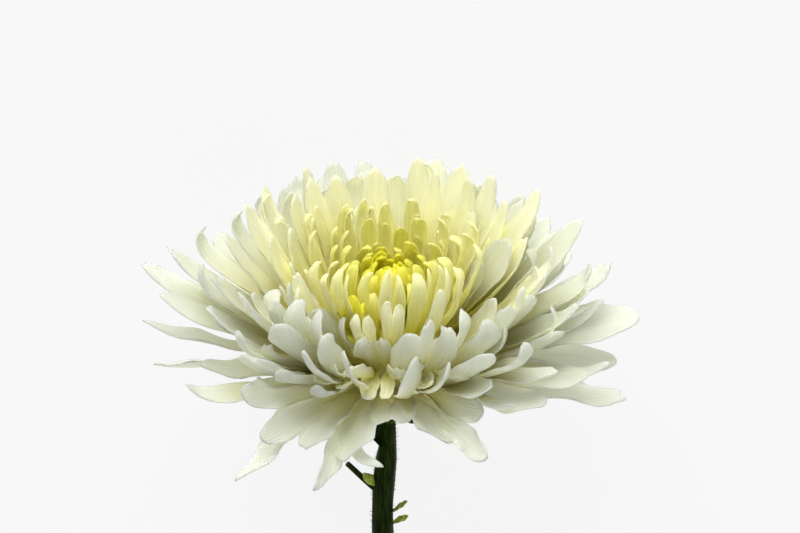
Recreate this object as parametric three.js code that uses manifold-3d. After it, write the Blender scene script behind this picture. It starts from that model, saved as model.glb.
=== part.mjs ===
// A white chrysanthemum bloom on its cut stem, lying on a table. Millimetres, +Z up.
//
// Every piece is first shaped in the flower's own upright frame, where the stem runs down the Z axis from the
// base of the bloom at the origin, and is then laid down: the bloom rests on the florets of its underside
// and the stem slopes down to its cut end. Lying down, +Y runs from the cut end to the bloom's open face.
//
// The pieces are the white ray florets, the short yellow-green florets of the heart, and the green stem with
// its cup of bracts, its side shoot and the stubs that stripped leaves left.

import * as THREE from "three";
import { mergeVertices } from "three/addons/utils/BufferGeometryUtils.js";
import Module from "manifold-3d";

const wasm = await Module();
wasm.setup();

// ---------------------------------------------------------------- driving dimensions

const REST_RADIUS = 43; // how far from the bloom's axis the florets of the underside touch the table
const REST_HEIGHT = 15; // how far along the axis from the bloom's base they touch it
const STEM_LENGTH = 128; // from the bloom's base to the cut
const CUT_RADIUS = 2.5; // of the stem at its cut end
const CLEARANCE = 0.3; // left between pieces that touch
const PRESSED_FLAT = 0.25; // taken off whatever rests on the table, so that it rests on a small flat spot

// Lying down: the axis's angle to the table, and the height of the base of the bloom over it.
const slope = Math.atan((REST_RADIUS - CUT_RADIUS) / (REST_HEIGHT + STEM_LENGTH));
const baseHeight = REST_RADIUS * Math.cos(slope) - REST_HEIGHT * Math.sin(slope);
const BOX_MIDDLE = { x: 0.4, y: -39.08 }; // middle of the whole flower's box, from the base of the bloom

// ---------------------------------------------------------------- how the florets grow

const GOLDEN_ANGLE = 137.508; // degrees from one floret to the next
const FLORET_THICKNESS = 0.8; // at the middle of a blade, which thins out to its edges
const FLORET_STEPS = 24; // steps in which a floret's spine is worked out
const HOOD = 14; // degrees that the tip of a floret hoods inwards, over the rest of its bend
const LONG_RINGS = [0, 0.36, 0.7, 0.93, 1]; // shares of a floret's length at which its solid has a ring
const SHORT_RINGS = [0, 0.45, 0.8, 1];
const SHORT = 25; // mm: up to this length a ray floret has the rings of a short one

// White ray florets, from the lowest and outermost (share 0) to the innermost (share 1). The rise is in
// degrees over the plane across the axis, halfway along, and the curl is what it gains from root to tip.
const RAY_COUNT = 140;
const RAY_RULE = {
  share: [0, 0.15, 0.35, 0.6, 0.8, 1],
  rootRadius: [13.5, 13.2, 12.6, 11.8, 11.2, 10.6],
  rootHeight: [3, 4, 5.6, 7.4, 8.8, 10.2],
  rise: [-4, 10, 28, 44, 56, 67],
  curl: [4, 14, 21, 26, 27, 26],
  length: [38, 39, 38, 36, 33.5, 30],
  width: [8.6, 8.2, 7.6, 7.2, 6.6, 5.6],
  fold: [60, 75, 95, 110, 120, 130], // degrees of arc across the blade, at half its length
};

// Yellow-green florets of the heart, from the upright crown (share 0) to the buds in the middle (share 1).
const HEART_COUNT = 66;
const HEART_RULE = {
  share: [0, 0.2, 0.42, 0.6, 0.8, 1],
  rootRadius: [8.8, 8.3, 7.4, 6, 3.6, 0.8],
  rootHeight: [12.6, 13.2, 14, 14.8, 15.6, 16],
  rise: [62, 68, 78, 88, 94, 90],
  curl: [56, 58, 60, 52, 34, 20],
  length: [27, 25, 20, 15.5, 12.5, 11],
  width: [4.4, 4.2, 4, 3.8, 3.8, 3.8],
  fold: [130, 140, 155, 170, 185, 190],
};

// Florets that stand out of the rule, each in the place of the nearest one of the rule. Azimuth is in
// degrees about the axis from +X, broadness is the width as a share of the rule's, and swing and twist are
// the turns about the axis and about itself, in degrees from root to tip.
const OWN_FLORETS = [
  // azimuth, share, rise, curl, length, broadness, swing, twist
  [174, 0.3, 25, 11, 44], // left side
  [168, 0.5, 37, 19, 41, 0.9],
  [177, 0.4, 35, 15, 42, 0.8],
  [-175, 0.65, 52, 22, 37.5, 1.15],
  [168, 0.75, 56, 22, 36.5, 1.2],
  [154, 0.8, 55, 22, 36],
  [170, 0.92, 67, 38, 27.5],
  [137, 0.92, 67, 15, 33],
  [152, 0.88, 66, 15, 32],
  [-176, 0.25, 26, 11, 39],
  [-171, 0.35, 40, 19, 39],
  [-165, 0.5, 43, 22, 36, 1.1],
  [176, 0.08, 11, 9, 40, 0.5],
  [171, 0, -9, 0, 38.5, 0.85, 0, 30],
  [-160, 0.3, 37, 26, 34, 1.2],
  [-151, 0.5, 47, 30, 33.5],
  [-143, 0.6, 52, 34, 33],
  [18, 0.8, 54, 15, 38, 1.1], // right side
  [11, 0.55, 42, 19, 39.5, 1.35],
  [-8, 0.65, 48, 26, 36.5],
  [-16, 0.65, 48, 30, 33.5],
  [-30, 0.7, 48, 26, 31.5],
  [6, 0.92, 52, 34, 29.5, 1.2],
  [-5, 0.45, 36, 19, 39, 1.2],
  [17, 0.35, 18, 11, 40],
  [-10, 0.45, 34, 22, 36.5],
  [-12, 0.3, 31, 30, 38, 0.6],
  [-19, 0.4, 35, 22, 35, 1.1],
  [10, 0.12, 7, 4, 41, 1.6],
  [7, 0.05, -6, 4, 35.5, 1.3],
  [-18, 0.12, 14, 22, 35.5, 0.6],
  [-25, 0.18, 12, 0, 32, 1.3],
  [-14, 0.02, -2, 0, 37, 1],
  [-42, 0, 16, -5, 29, 1.2],
  [-38, 0.25, 24, 8, 32.5, 0.9],
  [-139, 0.1, 21, 11, 29.5, 0.85, 0, -45], // drooping towards the front
  [-132, 0, -11, -14, 34.5, 0.62, 0, 15],
  [-131, 0.05, 3, -8, 30, 0.7, 0, -20],
  [-119, 0.1, -3, -12, 24, 0.85, 0, 20],
  [-113, 0, -16, -20, 27, 0.8, 0, -25],
  [-108, 0.03, -8, -10, 21, 1, -4, 12],
  [-124, 0, -11, 0, 24, 0.45, 108, 0],
  [-96, 0.1, 4, 0, 13, 0.75],
  [-63, 0, 4, -15, 29.5, 0.8, 0, 10],
  [-79, 0.05, 4, -15, 23, 1.25, 22, 5],
  [-57, 0.12, 18, 8, 25.5, 0.9],
  [-122, 0.45, 56, 35, 30.5, 0.9, -4, -20], // rising at the front
  [-138, 0.42, 54, 30, 32.5, 1, 0, 15],
  [-131, 0.35, 48, 30, 32, 1.1, 0, 20],
  [-122, 0.26, 44, 30, 29, 0.9, 4, -15],
  [-114, 0.3, 52, 32, 28, 0.75, -6, 35],
  [-107, 0.24, 49, 30, 26, 0.8, -6, -30],
  [-136, 0.14, 36, 20, 29.5, 0.95, 0, 10],
  [-82, 0.36, 58, 30, 25.5, 0.95, 6, -10],
  [-80, 0.22, 50, 60, 26.5, 0.95, 0, 30],
  [-66, 0.38, 55, 32, 28, 0.8, 0, -30],
  [-57, 0.5, 56, 34, 30.5, 0.8, 4, 15],
  [-49, 0.42, 49, 32, 29.5, 0.95, 0, -15],
  [-69, 0.24, 42, 24, 26, 0.85, 6, 30],
  [-57, 0.28, 41, 26, 30.5, 1, 0, -10],
  [-43, 0.36, 34, 28, 33, 0.95, 0, 0],
  [-144, 0.28, 36, 24, 32.5, 1, -4, 0],
  [-140, 0.2, 32, 20, 30.5, 0.95, 0, 10],
  [-71, 0.44, 60, 36, 28, 0.75, -6, 20],
  [-40, 0.5, 51, 34, 31, 0.85, 0, -15],
  [-130, 0.5, 55, 34, 33, 0.85, 6, 20],
  [-112, 0.9, 62, 20, 19.5, 0.8, 0, -10], // short ones beside the crown
  [-104, 0.95, 65, 20, 18.5, 0.75, 0, 15],
  [-105, 0.8, 56, 10, 15, 0.65, 0, 30],
  [-96, 0.85, 60, 10, 15, 0.75, 0, -20],
  [-140, 0.92, 62, 24, 29.5, 0.8, 0, 30],
  [-139, 0.85, 56, 22, 27.5, 0.85, 0, -20],
  [-61, 0.97, 66, 26, 25, 0.85, 4, -10],
  [-84, 0.98, 65, 20, 23, 0.75, 0, 10],
  [-92, 1, 66, 20, 23.5, 0.7, 0, -10],
  [-91, 0.85, 2, -30, 12.5, 0.75, 0, 15], // short ones that lie flat at the front
  [-104, 0.75, 10, -15, 13.5, 0.8, 6, -20],
  [-112, 0.8, 14, -20, 15.5, 0.85, 0, 20],
  [-121, 0.7, 21, -10, 18, 0.9, -6, -10],
  [-80, 0.78, 12, -15, 14, 0.85, 0, -15],
  [-72, 0.8, 18, -20, 16, 0.9, 6, 20],
  [-60, 0.7, 23, -5, 20, 0.95, 0, -15],
  [-129, 0.3, 29, 5, 26, 0.9, 0, 20],
  [-56, 0.35, 26, 10, 26.5, 0.9, 0, 15],
  [-106, 0.6, 37, 10, 17.5, 0.8, -8, 25],
  [-88, 0.65, 37, 10, 15, 0.8, 8, -25],
  [-76, 0.6, 39, 10, 17.5, 0.8, 0, 10],
  [-118, 0.55, 38, 10, 20, 0.85, 0, -20],
];

// Claws at the front of the heart's crown, in the places of the nearest florets of its rule.
const CLAWS = [
  [-136, 0.12, 62, 50, 25, 1.1, 0, -20],
  [-129, 0.2, 69, 50, 24.5, 0.9, 0, 15],
  [-123, 0.3, 67, 50, 22.5, 0.8, 0, -30],
  [-114, 0.4, 81, 65, 20, 0.7, -20, 35],
  [-91, 0.15, 74, 45, 24, 0.95, -6, 25],
  [-83, 0.3, 73, 45, 22, 0.8, 0, -20],
  [-71, 0.2, 69, 45, 24.5, 0.95, 4, -15],
  [-56, 0.35, 72, 50, 22, 0.8, 0, 20],
  [-50, 0.25, 70, 50, 24, 0.8, 0, -30],
  [-50, 0.1, 66, 45, 25.5, 0.95, 0, 15],
  [-119, 0.02, 65, 10, 19, 1.2, 0, 0],
];

// Opposite the pressed underside the inner florets stayed short and leave the crown of the heart in the open.
const STUNTED = { azimuth: -84, reach: 40, fromShare: 0.55, length: 0.32, width: 0.7, rise: 8 };

// The domed body that the florets grow from: radius and height of its outline.
const RECEPTACLE = [[0, 1.2], [12.6, 1.2], [14, 3.2], [13, 6.4], [11, 10.6], [8, 14], [4, 15.8], [0, 16.2]];

/** A value between -1 and 1 that looks random and is always the same for the same floret and channel. */
function jitter(index, channel) {
  const wave = Math.sin(index * 12.9898 + channel * 78.233) * 43758.5453;
  return 2 * (wave - Math.floor(wave)) - 1;
}

/** The value of a rule's row at a share between 0 and 1. */
function along(rule, row, share) {
  const at = rule.share;
  let k = 1;
  while (k < at.length - 1 && share > at[k]) k += 1;
  const part = (share - at[k - 1]) / (at[k] - at[k - 1]);
  return rule[row][k - 1] + part * (rule[row][k] - rule[row][k - 1]);
}

const radians = THREE.MathUtils.degToRad;
const smoothstep = THREE.MathUtils.smoothstep;

/** The angle between two azimuths, in degrees from 0 to 180. */
function apart(a, b) {
  const turn = (((a - b) % 360) + 360) % 360;
  return Math.min(turn, 360 - turn);
}

/** One floret's numbers: where it roots, how it rises and bends, and its blade. */
function floretOf(rule, share, index, scatter, own = {}) {
  const value = (row) => along(rule, row, share);
  return {
    azimuth: index * GOLDEN_ANGLE + 5 * scatter * jitter(index, 1),
    share,
    rootRadius: value("rootRadius"),
    rootHeight: value("rootHeight"),
    rise: value("rise") + 7 * scatter * jitter(index, 2),
    curl: value("curl") + 14 * scatter * jitter(index, 3),
    swing: 12 * scatter * jitter(index, 4),
    twist: 22 * scatter * jitter(index, 5),
    length: value("length") * (1 + 0.07 * scatter * jitter(index, 6)),
    width: value("width") * (1 + 0.12 * scatter * jitter(index, 7)),
    fold: value("fold"),
    ...own,
  };
}

/** The florets of a rule, spread over its shares. */
function rowsOf(rule, count, scatter) {
  return Array.from({ length: count }, (_, index) =>
    floretOf(rule, index / (count - 1), index, scatter),
  );
}

/** The florets of a list that stand out of a rule. */
function ownFlorets(rule, list, first) {
  return list.map(([azimuth, share, rise, curl, length, broadness = 1, swing = 0, twist = 0], index) => {
    const width = along(rule, "width", share) * broadness;
    return floretOf(rule, share, first + index, 0, { azimuth, rise, curl, length, width, swing, twist });
  });
}

/** The rule's florets with the nearest one taken out for each floret that has its own numbers. */
function madeRoomFor(own, florets) {
  const left = [...florets];
  for (const one of own) {
    const distance = (f) => Math.hypot(apart(f.azimuth, one.azimuth) / 360, (f.share - one.share) / 2.5);
    const nearest = left.reduce((a, b) => (distance(b) < distance(a) ? b : a));
    left.splice(left.indexOf(nearest), 1);
  }
  return left;
}

/** A floret that grew in the stunted patch, shorter, narrower and more upright. */
function stunted(floret) {
  const inside = apart(floret.azimuth, STUNTED.azimuth) < STUNTED.reach && floret.share > STUNTED.fromShare;
  if (!inside) return floret;
  return {
    ...floret,
    length: floret.length * STUNTED.length,
    width: floret.width * STUNTED.width,
    rise: floret.rise + STUNTED.rise,
  };
}

/** The spine of a floret: a list of stations, each with its point, its tangent, its side and its normal. */
function spineOf(floret) {
  const azimuth = radians(floret.azimuth);
  const point = new THREE.Vector3(
    floret.rootRadius * Math.cos(azimuth),
    floret.rootRadius * Math.sin(azimuth),
    floret.rootHeight,
  );
  const stations = [];
  for (let k = 0; k <= FLORET_STEPS; k += 1) {
    const s = k / FLORET_STEPS;
    const bend = floret.curl * (s ** 1.2 - 0.45) + HOOD * smoothstep(s, 0.72, 1);
    const rise = radians(floret.rise + bend);
    const heading = azimuth + radians(floret.swing) * s;
    const tangent = new THREE.Vector3(
      Math.cos(rise) * Math.cos(heading),
      Math.cos(rise) * Math.sin(heading),
      Math.sin(rise),
    );
    const side = new THREE.Vector3(-Math.sin(heading), Math.cos(heading), 0);
    side.applyAxisAngle(tangent, radians(floret.twist) * s);
    const normal = tangent.clone().cross(side);
    stations.push({ point: point.clone(), tangent, side, normal });
    point.addScaledVector(tangent, floret.length / FLORET_STEPS);
  }
  return stations;
}

/** Width of a blade at s of its length, as a share of its full width: a claw, a broad blade, a round tip. */
function widthShare(s) {
  const claw = 0.4 + 0.6 * smoothstep(s, 0, 0.6);
  const tip = s < 0.7 ? 1 : Math.sqrt(Math.max(0, 1 - ((s - 0.7) / 0.3) ** 2.2));
  return claw * tip;
}

/** Degrees of arc across the blade at s of its length: rolled near the root, open in the blade. */
function foldAt(floret, s) {
  return floret.fold * (1.5 - 0.9 * smoothstep(s, 0, 0.9));
}

/** The point of a floret at s of its length, u from edge to edge (-1 to 1), raised from its middle face. */
function bladePoint(floret, stations, s, u, raised) {
  const k = Math.min(FLORET_STEPS - 1, Math.floor(s * FLORET_STEPS));
  const part = s * FLORET_STEPS - k;
  const mix = (name) => stations[k][name].clone().lerp(stations[k + 1][name], part);
  const half = radians(foldAt(floret, s)) / 2;
  const arcRadius = (floret.width * widthShare(s)) / (2 * half);
  return mix("point")
    .addScaledVector(mix("side").normalize(), arcRadius * Math.sin(half * u))
    .addScaledVector(mix("normal").normalize(), arcRadius * (1 - Math.cos(half * u)) + raised);
}

/** Height over the table of a point in the upright frame, once the flower lies down. */
function heightOverTable(p) {
  return baseHeight + p.z * Math.sin(slope) - p.y * Math.cos(slope);
}

/** The least height over the table that a floret reaches. */
function lowestOf(floret) {
  const stations = spineOf(floret);
  const corners = [[-1, 0], [0, -FLORET_THICKNESS / 2], [1, 0]];
  const heights = LONG_RINGS.slice(1).flatMap((s) =>
    corners.map(([u, raised]) => heightOverTable(bladePoint(floret, stations, s, u, s < 1 ? raised : 0))),
  );
  return Math.min(...heights);
}

const BEND_STEP = 0.25; // degrees

/** The table presses the florets under the bloom: each is bent up towards the axis until it is clear. */
function bentClear(floret) {
  const bent = { ...floret };
  while (lowestOf(bent) < -PRESSED_FLAT && bent.rise < 110) bent.rise += BEND_STEP;
  return bent;
}

// ---------------------------------------------------------------- solids

/** Moves each vertex of a closed geometry by a function, and makes a solid of it. */
function solidOf(geometry, move = (p) => p) {
  const bare = new THREE.BufferGeometry();
  bare.setAttribute("position", geometry.getAttribute("position").clone());
  bare.setIndex(geometry.index);
  const at = bare.getAttribute("position");
  for (let i = 0; i < at.count; i += 1) {
    const p = move(new THREE.Vector3().fromBufferAttribute(at, i));
    at.setXYZ(i, p.x, p.y, p.z);
  }
  const merged = mergeVertices(bare, 1e-4);
  return new wasm.Manifold(
    new wasm.Mesh({
      numProp: 3,
      vertProperties: merged.attributes.position.array,
      triVerts: new Uint32Array(merged.index.array),
    }),
  );
}

/** One solid of many. */
function joined(solids) {
  return wasm.Manifold.union(solids);
}

/** The largest body of a solid: loose scraps that a cut leaves are dropped. */
function largestBody(solid) {
  return solid.decompose().reduce((a, b) => (b.volume() > a.volume() ? b : a));
}

/** A solid turned about the flower's axis, from [radius, height] pairs that start and end on the axis. */
function turned(profile, sides) {
  const points = profile.map(([r, z]) => new THREE.Vector2(r, z));
  return solidOf(new THREE.LatheGeometry(points, sides), (p) => new THREE.Vector3(p.x, -p.z, p.y));
}

/** A floret's solid: a cone of four sides, bent into the blade, with its rings at the given shares. */
function floretSolid(floret, rings) {
  const stations = spineOf(floret);
  const spans = rings.length - 1;
  return solidOf(new THREE.ConeGeometry(1, 1, 4, spans), (p) => {
    const level = Math.round((p.y + 0.5) * spans);
    const reach = level < spans ? Math.hypot(p.x, p.z) / (1 - level / spans) : 0;
    const around = Math.atan2(p.x, p.z);
    const raised = (reach * Math.sin(around) * FLORET_THICKNESS) / 2;
    return bladePoint(floret, stations, rings[level], reach * Math.cos(around), raised);
  });
}

/** A round rod along a curve, its radius given at even steps. */
function rod(points, radii, sides) {
  const curve = new THREE.CatmullRomCurve3(points.map(([x, y, z]) => new THREE.Vector3(x, y, z)));
  const spans = radii.length - 1;
  const frames = curve.computeFrenetFrames(spans, false);
  return solidOf(new THREE.CylinderGeometry(1, 1, 1, sides, spans), (p) => {
    const level = Math.round((0.5 - p.y) * spans);
    return curve
      .getPoint(level / spans)
      .addScaledVector(frames.normals[level], p.x * radii[level])
      .addScaledVector(frames.binormals[level], p.z * radii[level]);
  });
}

// ---------------------------------------------------------------- florets

/** What lies inside the crown belongs to the heart, what lies outside to the rays. */
const heartCone = (grow) => turned(
  [[0, 8], [10 + grow, 8], [11.2 + grow, 12], [16 + grow, 22], [20.5 + grow, 36], [20.5 + grow, 60], [0, 60]],
  24,
);

const own = ownFlorets(RAY_RULE, OWN_FLORETS, RAY_COUNT);
const rayFlorets = [...madeRoomFor(own, rowsOf(RAY_RULE, RAY_COUNT, 1)).map(stunted), ...own].map(bentClear);
const claws = ownFlorets(HEART_RULE, CLAWS, HEART_COUNT);
const heartFlorets = [...madeRoomFor(claws, rowsOf(HEART_RULE, HEART_COUNT, 0.9)), ...claws];

const receptacle = turned(RECEPTACLE, 24);
const raySolid = joined([
  receptacle,
  ...rayFlorets.map((f) => floretSolid(f, f.length > SHORT ? LONG_RINGS : SHORT_RINGS)),
]);
const heartSolid = joined([receptacle, ...heartFlorets.map((f) => floretSolid(f, SHORT_RINGS))]);

// ---------------------------------------------------------------- stem

const BRACT_COUNT = 26;
const BRACT_RULE = {
  share: [0, 1],
  rootRadius: [4, 7],
  rootHeight: [-4, -1.6],
  rise: [18, 2],
  curl: [10, 20],
  length: [8.5, 7.5],
  width: [3.4, 3],
  fold: [50, 50],
};
const BRACT_RINGS = [0, 0.5, 0.85, 1];

const INVOLUCRE_TOP = 0.9; // the cup of bracts ends here, clear of the florets
const INVOLUCRE = [
  [0, -7],
  [1.5, -7],
  [2.2, -5.6],
  [4.8, -3.8],
  [9.4, -1.6],
  [12, -0.4],
  [12.6, INVOLUCRE_TOP],
  [0, INVOLUCRE_TOP],
];

// Radius of the stem at even steps of its length: thin under the bloom, thick where leaves grew.
const STEM_RADII = [
  1.5, 1.35, 1.4, 2.35, 2.2, 2.15, 2.15, 2.2, 2.6, 2.25, 2.2, 2.25, 2.3, 2.3, 2.7, 2.4, 2.4, 2.5,
  CUT_RADIUS + PRESSED_FLAT,
];
const STEM_PATH = [
  [0, 0, -4],
  [-0.9, 0, -14],
  [-1.4, 0.2, -36],
  [-0.6, 0.8, -66],
  [-0.4, 0.4, -98],
  [0, 0, -STEM_LENGTH - 1],
];
const CUT_SLANT = 35; // degrees from square, with the longer side on the table

// The small leaf under the bloom, two bracts beside the side shoot, and the stubs of two stripped leaves.
const STUBS = [
  // azimuth, height, rise, length, width
  [150, -21, 62, 12, 6.4],
  [-10, -32.6, 34, 6, 1.8],
  [10, -36.4, 12, 5, 1.6],
  [200, -57, 60, 5.5, 2.4],
  [20, -99, 60, 5.5, 2.4],
];

/** A small leaf or what is left of one, rooted on the axis of the stem. */
function stubSolid([azimuth, rootHeight, rise, length, width]) {
  const blade = { rootRadius: 0, curl: 12, swing: 0, twist: 0, fold: 60 };
  return floretSolid({ ...blade, azimuth, rootHeight, rise, length, width }, BRACT_RINGS);
}

/** All that lies below the slanted cut at the end of the stem. */
function belowCut() {
  const lift = CUT_RADIUS * Math.tan(radians(CUT_SLANT)) - STEM_LENGTH;
  const xAxis = new THREE.Vector3(1, 0, 0);
  return solidOf(new THREE.BoxGeometry(20, 20, 20), (p) => {
    p.z -= 10;
    p.applyAxisAngle(xAxis, -radians(CUT_SLANT));
    p.z += lift;
    return p;
  });
}

const bracts = rowsOf(BRACT_RULE, BRACT_COUNT, 0.4).map((f) => floretSolid(f, BRACT_RINGS));
const peduncle = rod(STEM_PATH, STEM_RADII, 12);
const sideShoot = rod([[-2, 0, -30], [-4.6, -0.2, -27.8], [-9.4, -0.4, -22.2]], [1.1, 0.75, 0.65, 0.6], 6);
const sideBud = rod([[-3, -0.4, -27.4], [-5, -0.6, -25.8], [-5.9, -0.6, -24.8]], [0.9, 1.1, 0.8, 0.3], 6);
const underBloom = turned([[0, -200], [60, -200], [60, INVOLUCRE_TOP], [0, INVOLUCRE_TOP]], 24);
const involucre = turned(INVOLUCRE, 24);
const stubs = STUBS.map(stubSolid);
const stemSolid = joined([involucre, ...bracts, peduncle, sideShoot, sideBud, ...stubs])
  .subtract(belowCut())
  .intersect(underBloom);

// ---------------------------------------------------------------- the flower, lying down

const layDown = new THREE.Matrix4()
  .makeBasis(
    new THREE.Vector3(1, 0, 0),
    new THREE.Vector3(0, Math.sin(slope), -Math.cos(slope)),
    new THREE.Vector3(0, Math.cos(slope), Math.sin(slope)),
  )
  .setPosition(-BOX_MIDDLE.x, -BOX_MIDDLE.y, baseHeight);

/** The table in the upright frame: all that reaches below it is pressed flat. */
const standUp = layDown.clone().invert();
const table = solidOf(new THREE.BoxGeometry(600, 600, 100), (p) =>
  p.add(new THREE.Vector3(0, 0, -50)).applyMatrix4(standUp),
);

const flower = new THREE.Group();

/** Adds a solid to the flower as a named node, laid down on the table and cut flat where it presses on it. */
function addNode(name, solid, color, roughness) {
  const mesh = largestBody(solid.subtract(table)).getMesh();
  const geometry = new THREE.BufferGeometry();
  geometry.setAttribute("position", new THREE.BufferAttribute(mesh.vertProperties, 3));
  geometry.setIndex(new THREE.BufferAttribute(mesh.triVerts, 1));
  geometry.applyMatrix4(layDown);
  const at = geometry.getAttribute("position");
  for (let i = 0; i < at.count; i += 1) if (Math.abs(at.getZ(i)) < 1e-3) at.setZ(i, 0);
  const material = new THREE.MeshStandardMaterial({ color, roughness, metalness: 0, flatShading: true });
  const made = new THREE.Mesh(geometry, material);
  made.name = name;
  flower.add(made);
}

addNode("ray_florets", raySolid.subtract(heartCone(CLEARANCE)), 0xf4f4ee, 0.6);
addNode("heart_florets", heartSolid.intersect(heartCone(0)), 0xdfe07a, 0.6);
addNode("stem", stemSolid, 0x3f5a22, 0.6);

export default flower;
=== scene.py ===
"""A white chrysanthemum bloom on its cut green stem, lying on a pale table.

Every floret, bract and stub is shaped in the flower's own upright frame, where the stem runs down the Z axis
from the base of the bloom, and is then laid down on the table, as the frame's nodes are. Sizes are in
millimetres until a piece is finished, and in metres from there on.
"""

import logging
import math
from collections.abc import Callable, Iterable, Sequence
from dataclasses import dataclass, field, replace
from enum import Enum, IntEnum

import bmesh
import bpy
from mathutils import Matrix, Quaternion, Vector


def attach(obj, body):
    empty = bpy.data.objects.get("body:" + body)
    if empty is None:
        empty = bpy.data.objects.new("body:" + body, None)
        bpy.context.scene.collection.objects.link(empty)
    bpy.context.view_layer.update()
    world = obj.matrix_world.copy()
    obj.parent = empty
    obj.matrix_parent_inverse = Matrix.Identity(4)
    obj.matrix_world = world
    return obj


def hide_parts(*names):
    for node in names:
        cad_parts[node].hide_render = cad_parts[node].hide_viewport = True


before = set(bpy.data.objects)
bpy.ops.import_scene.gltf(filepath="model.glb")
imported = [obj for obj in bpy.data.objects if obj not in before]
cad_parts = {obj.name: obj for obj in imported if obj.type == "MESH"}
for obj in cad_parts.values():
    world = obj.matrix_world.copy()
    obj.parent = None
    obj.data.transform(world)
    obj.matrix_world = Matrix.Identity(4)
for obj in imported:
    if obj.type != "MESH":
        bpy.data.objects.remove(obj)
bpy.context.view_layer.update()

MM = 0.001

log = logging.getLogger("chrysanthemum")


# ---------------------------------------------------------------- numbers


class Draw(IntEnum):
    """Channels of the values that look random, one for each property of a blade that they vary."""

    AZIMUTH = 1
    RISE = 2
    CURL = 3
    SWING = 4
    TWIST = 5
    LENGTH = 6
    WIDTH = 7
    TIP = 11
    HOOK = 12
    WAVE = 21
    TEETH = 31
    STUNTED = 41
    BETWEEN = 42


class HairDraw(IntEnum):
    """Channels of a hair's values that look random."""

    LEAN = 1
    LENGTH = 2
    TURN = 3


def jitter(index: int, channel: int) -> float:
    """Gives a value that looks random and is always the same for the same piece and channel.

    Args:
        index: Number of the piece.
        channel: Number of the property that is varied.

    Returns:
        A value between -1 and 1.
    """
    wave = math.sin(index * 12.9898 + channel * 78.233) * 43758.5453
    return 2 * (wave - math.floor(wave)) - 1


def smoothstep(x: float, low: float, high: float) -> float:
    """Rises smoothly from 0 at low to 1 at high.

    Args:
        x: Where to read the step.
        low: Below this the step is 0.
        high: Above this the step is 1.

    Returns:
        A value between 0 and 1.
    """
    t = min(1.0, max(0.0, (x - low) / (high - low)))
    return t * t * (3 - 2 * t)


def apart(a: float, b: float) -> float:
    """Gives the angle between two azimuths.

    Args:
        a: One azimuth, in degrees.
        b: The other azimuth, in degrees.

    Returns:
        Degrees from 0 to 180.
    """
    turn = (a - b) % 360
    return min(turn, 360 - turn)


def linear(hex_colour: str) -> tuple[float, float, float, float]:
    """Turns an sRGB hex colour to linear.

    Args:
        hex_colour: Six hex digits, such as "F4F4EE".

    Returns:
        Red, green, blue and alpha, linear.
    """
    channels = [int(hex_colour[k : k + 2], 16) / 255 for k in (0, 2, 4)]
    red, green, blue = (c / 12.92 if c <= 0.04045 else ((c + 0.055) / 1.055) ** 2.4 for c in channels)
    return red, green, blue, 1.0


# ---------------------------------------------------------------- lying down


@dataclass(frozen=True)
class LyingFlower:
    """How the flower lies: on the florets of its underside and on the cut end of its stem.

    Attributes:
        rest_radius: Distance from the axis at which the florets touch the table.
        rest_height: How far along the axis from the bloom's base they touch it.
        stem_length: From the bloom's base to the cut.
        cut_radius: Radius of the stem at its cut end.
        base_x: Where the bloom's base lies across the table.
        base_y: Where the bloom's base lies along the table.
    """

    rest_radius: float = 43.0
    rest_height: float = 15.0
    stem_length: float = 128.0
    cut_radius: float = 2.5
    base_x: float = -0.4
    base_y: float = 39.08

    @property
    def slope(self) -> float:
        """Angle of the flower's axis to the table, in radians."""
        return math.atan((self.rest_radius - self.cut_radius) / (self.rest_height + self.stem_length))

    @property
    def base_height(self) -> float:
        """Height of the bloom's base over the table."""
        return self.rest_radius * math.cos(self.slope) - self.rest_height * math.sin(self.slope)

    @property
    def matrix(self) -> Matrix:
        """Takes a point of the upright frame, in millimetres, to the table, in metres."""
        c, s = math.cos(self.slope), math.sin(self.slope)
        laid = Matrix(
            ((1, 0, 0, self.base_x), (0, s, c, self.base_y), (0, -c, s, self.base_height), (0, 0, 0, 1))
        )
        return Matrix.Scale(MM, 4) @ laid

    def height(self, point: Vector) -> float:
        """Height over the table of a point of the upright frame."""
        return self.base_height + point.z * math.sin(self.slope) - point.y * math.cos(self.slope)


LYING = LyingFlower()


# ---------------------------------------------------------------- blades


@dataclass(frozen=True)
class GrowthRule:
    """How blades change from the lowest and outermost (share 0) to the innermost (share 1).

    Attributes:
        share: The shares at which the rows below give their values.
        root_radius: Distance of the root from the axis.
        root_height: Height of the root over the base of the bloom.
        rise: Degrees over the plane across the axis, halfway along the blade.
        curl: Degrees that the rise gains from root to tip.
        length: Length along the blade.
        width: Full width of the blade.
        fold: Degrees of arc across the blade, at half its length.
    """

    share: Sequence[float]
    root_radius: Sequence[float]
    root_height: Sequence[float]
    rise: Sequence[float]
    curl: Sequence[float]
    length: Sequence[float]
    width: Sequence[float]
    fold: Sequence[float]

    def at(self, row: str, share: float) -> float:
        """Reads a row of the rule.

        Args:
            row: Name of the row.
            share: Where to read it, from 0 to 1.

        Returns:
            The row's value there.
        """
        k = 1
        while k < len(self.share) - 1 and share > self.share[k]:
            k += 1
        part = (share - self.share[k - 1]) / (self.share[k] - self.share[k - 1])
        values = getattr(self, row)
        return values[k - 1] + part * (values[k] - values[k - 1])


class Tip(Enum):
    """Outline of a blade's tip."""

    ROUND = "round"
    TOOTHED = "toothed"
    POINTED = "pointed"


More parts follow.
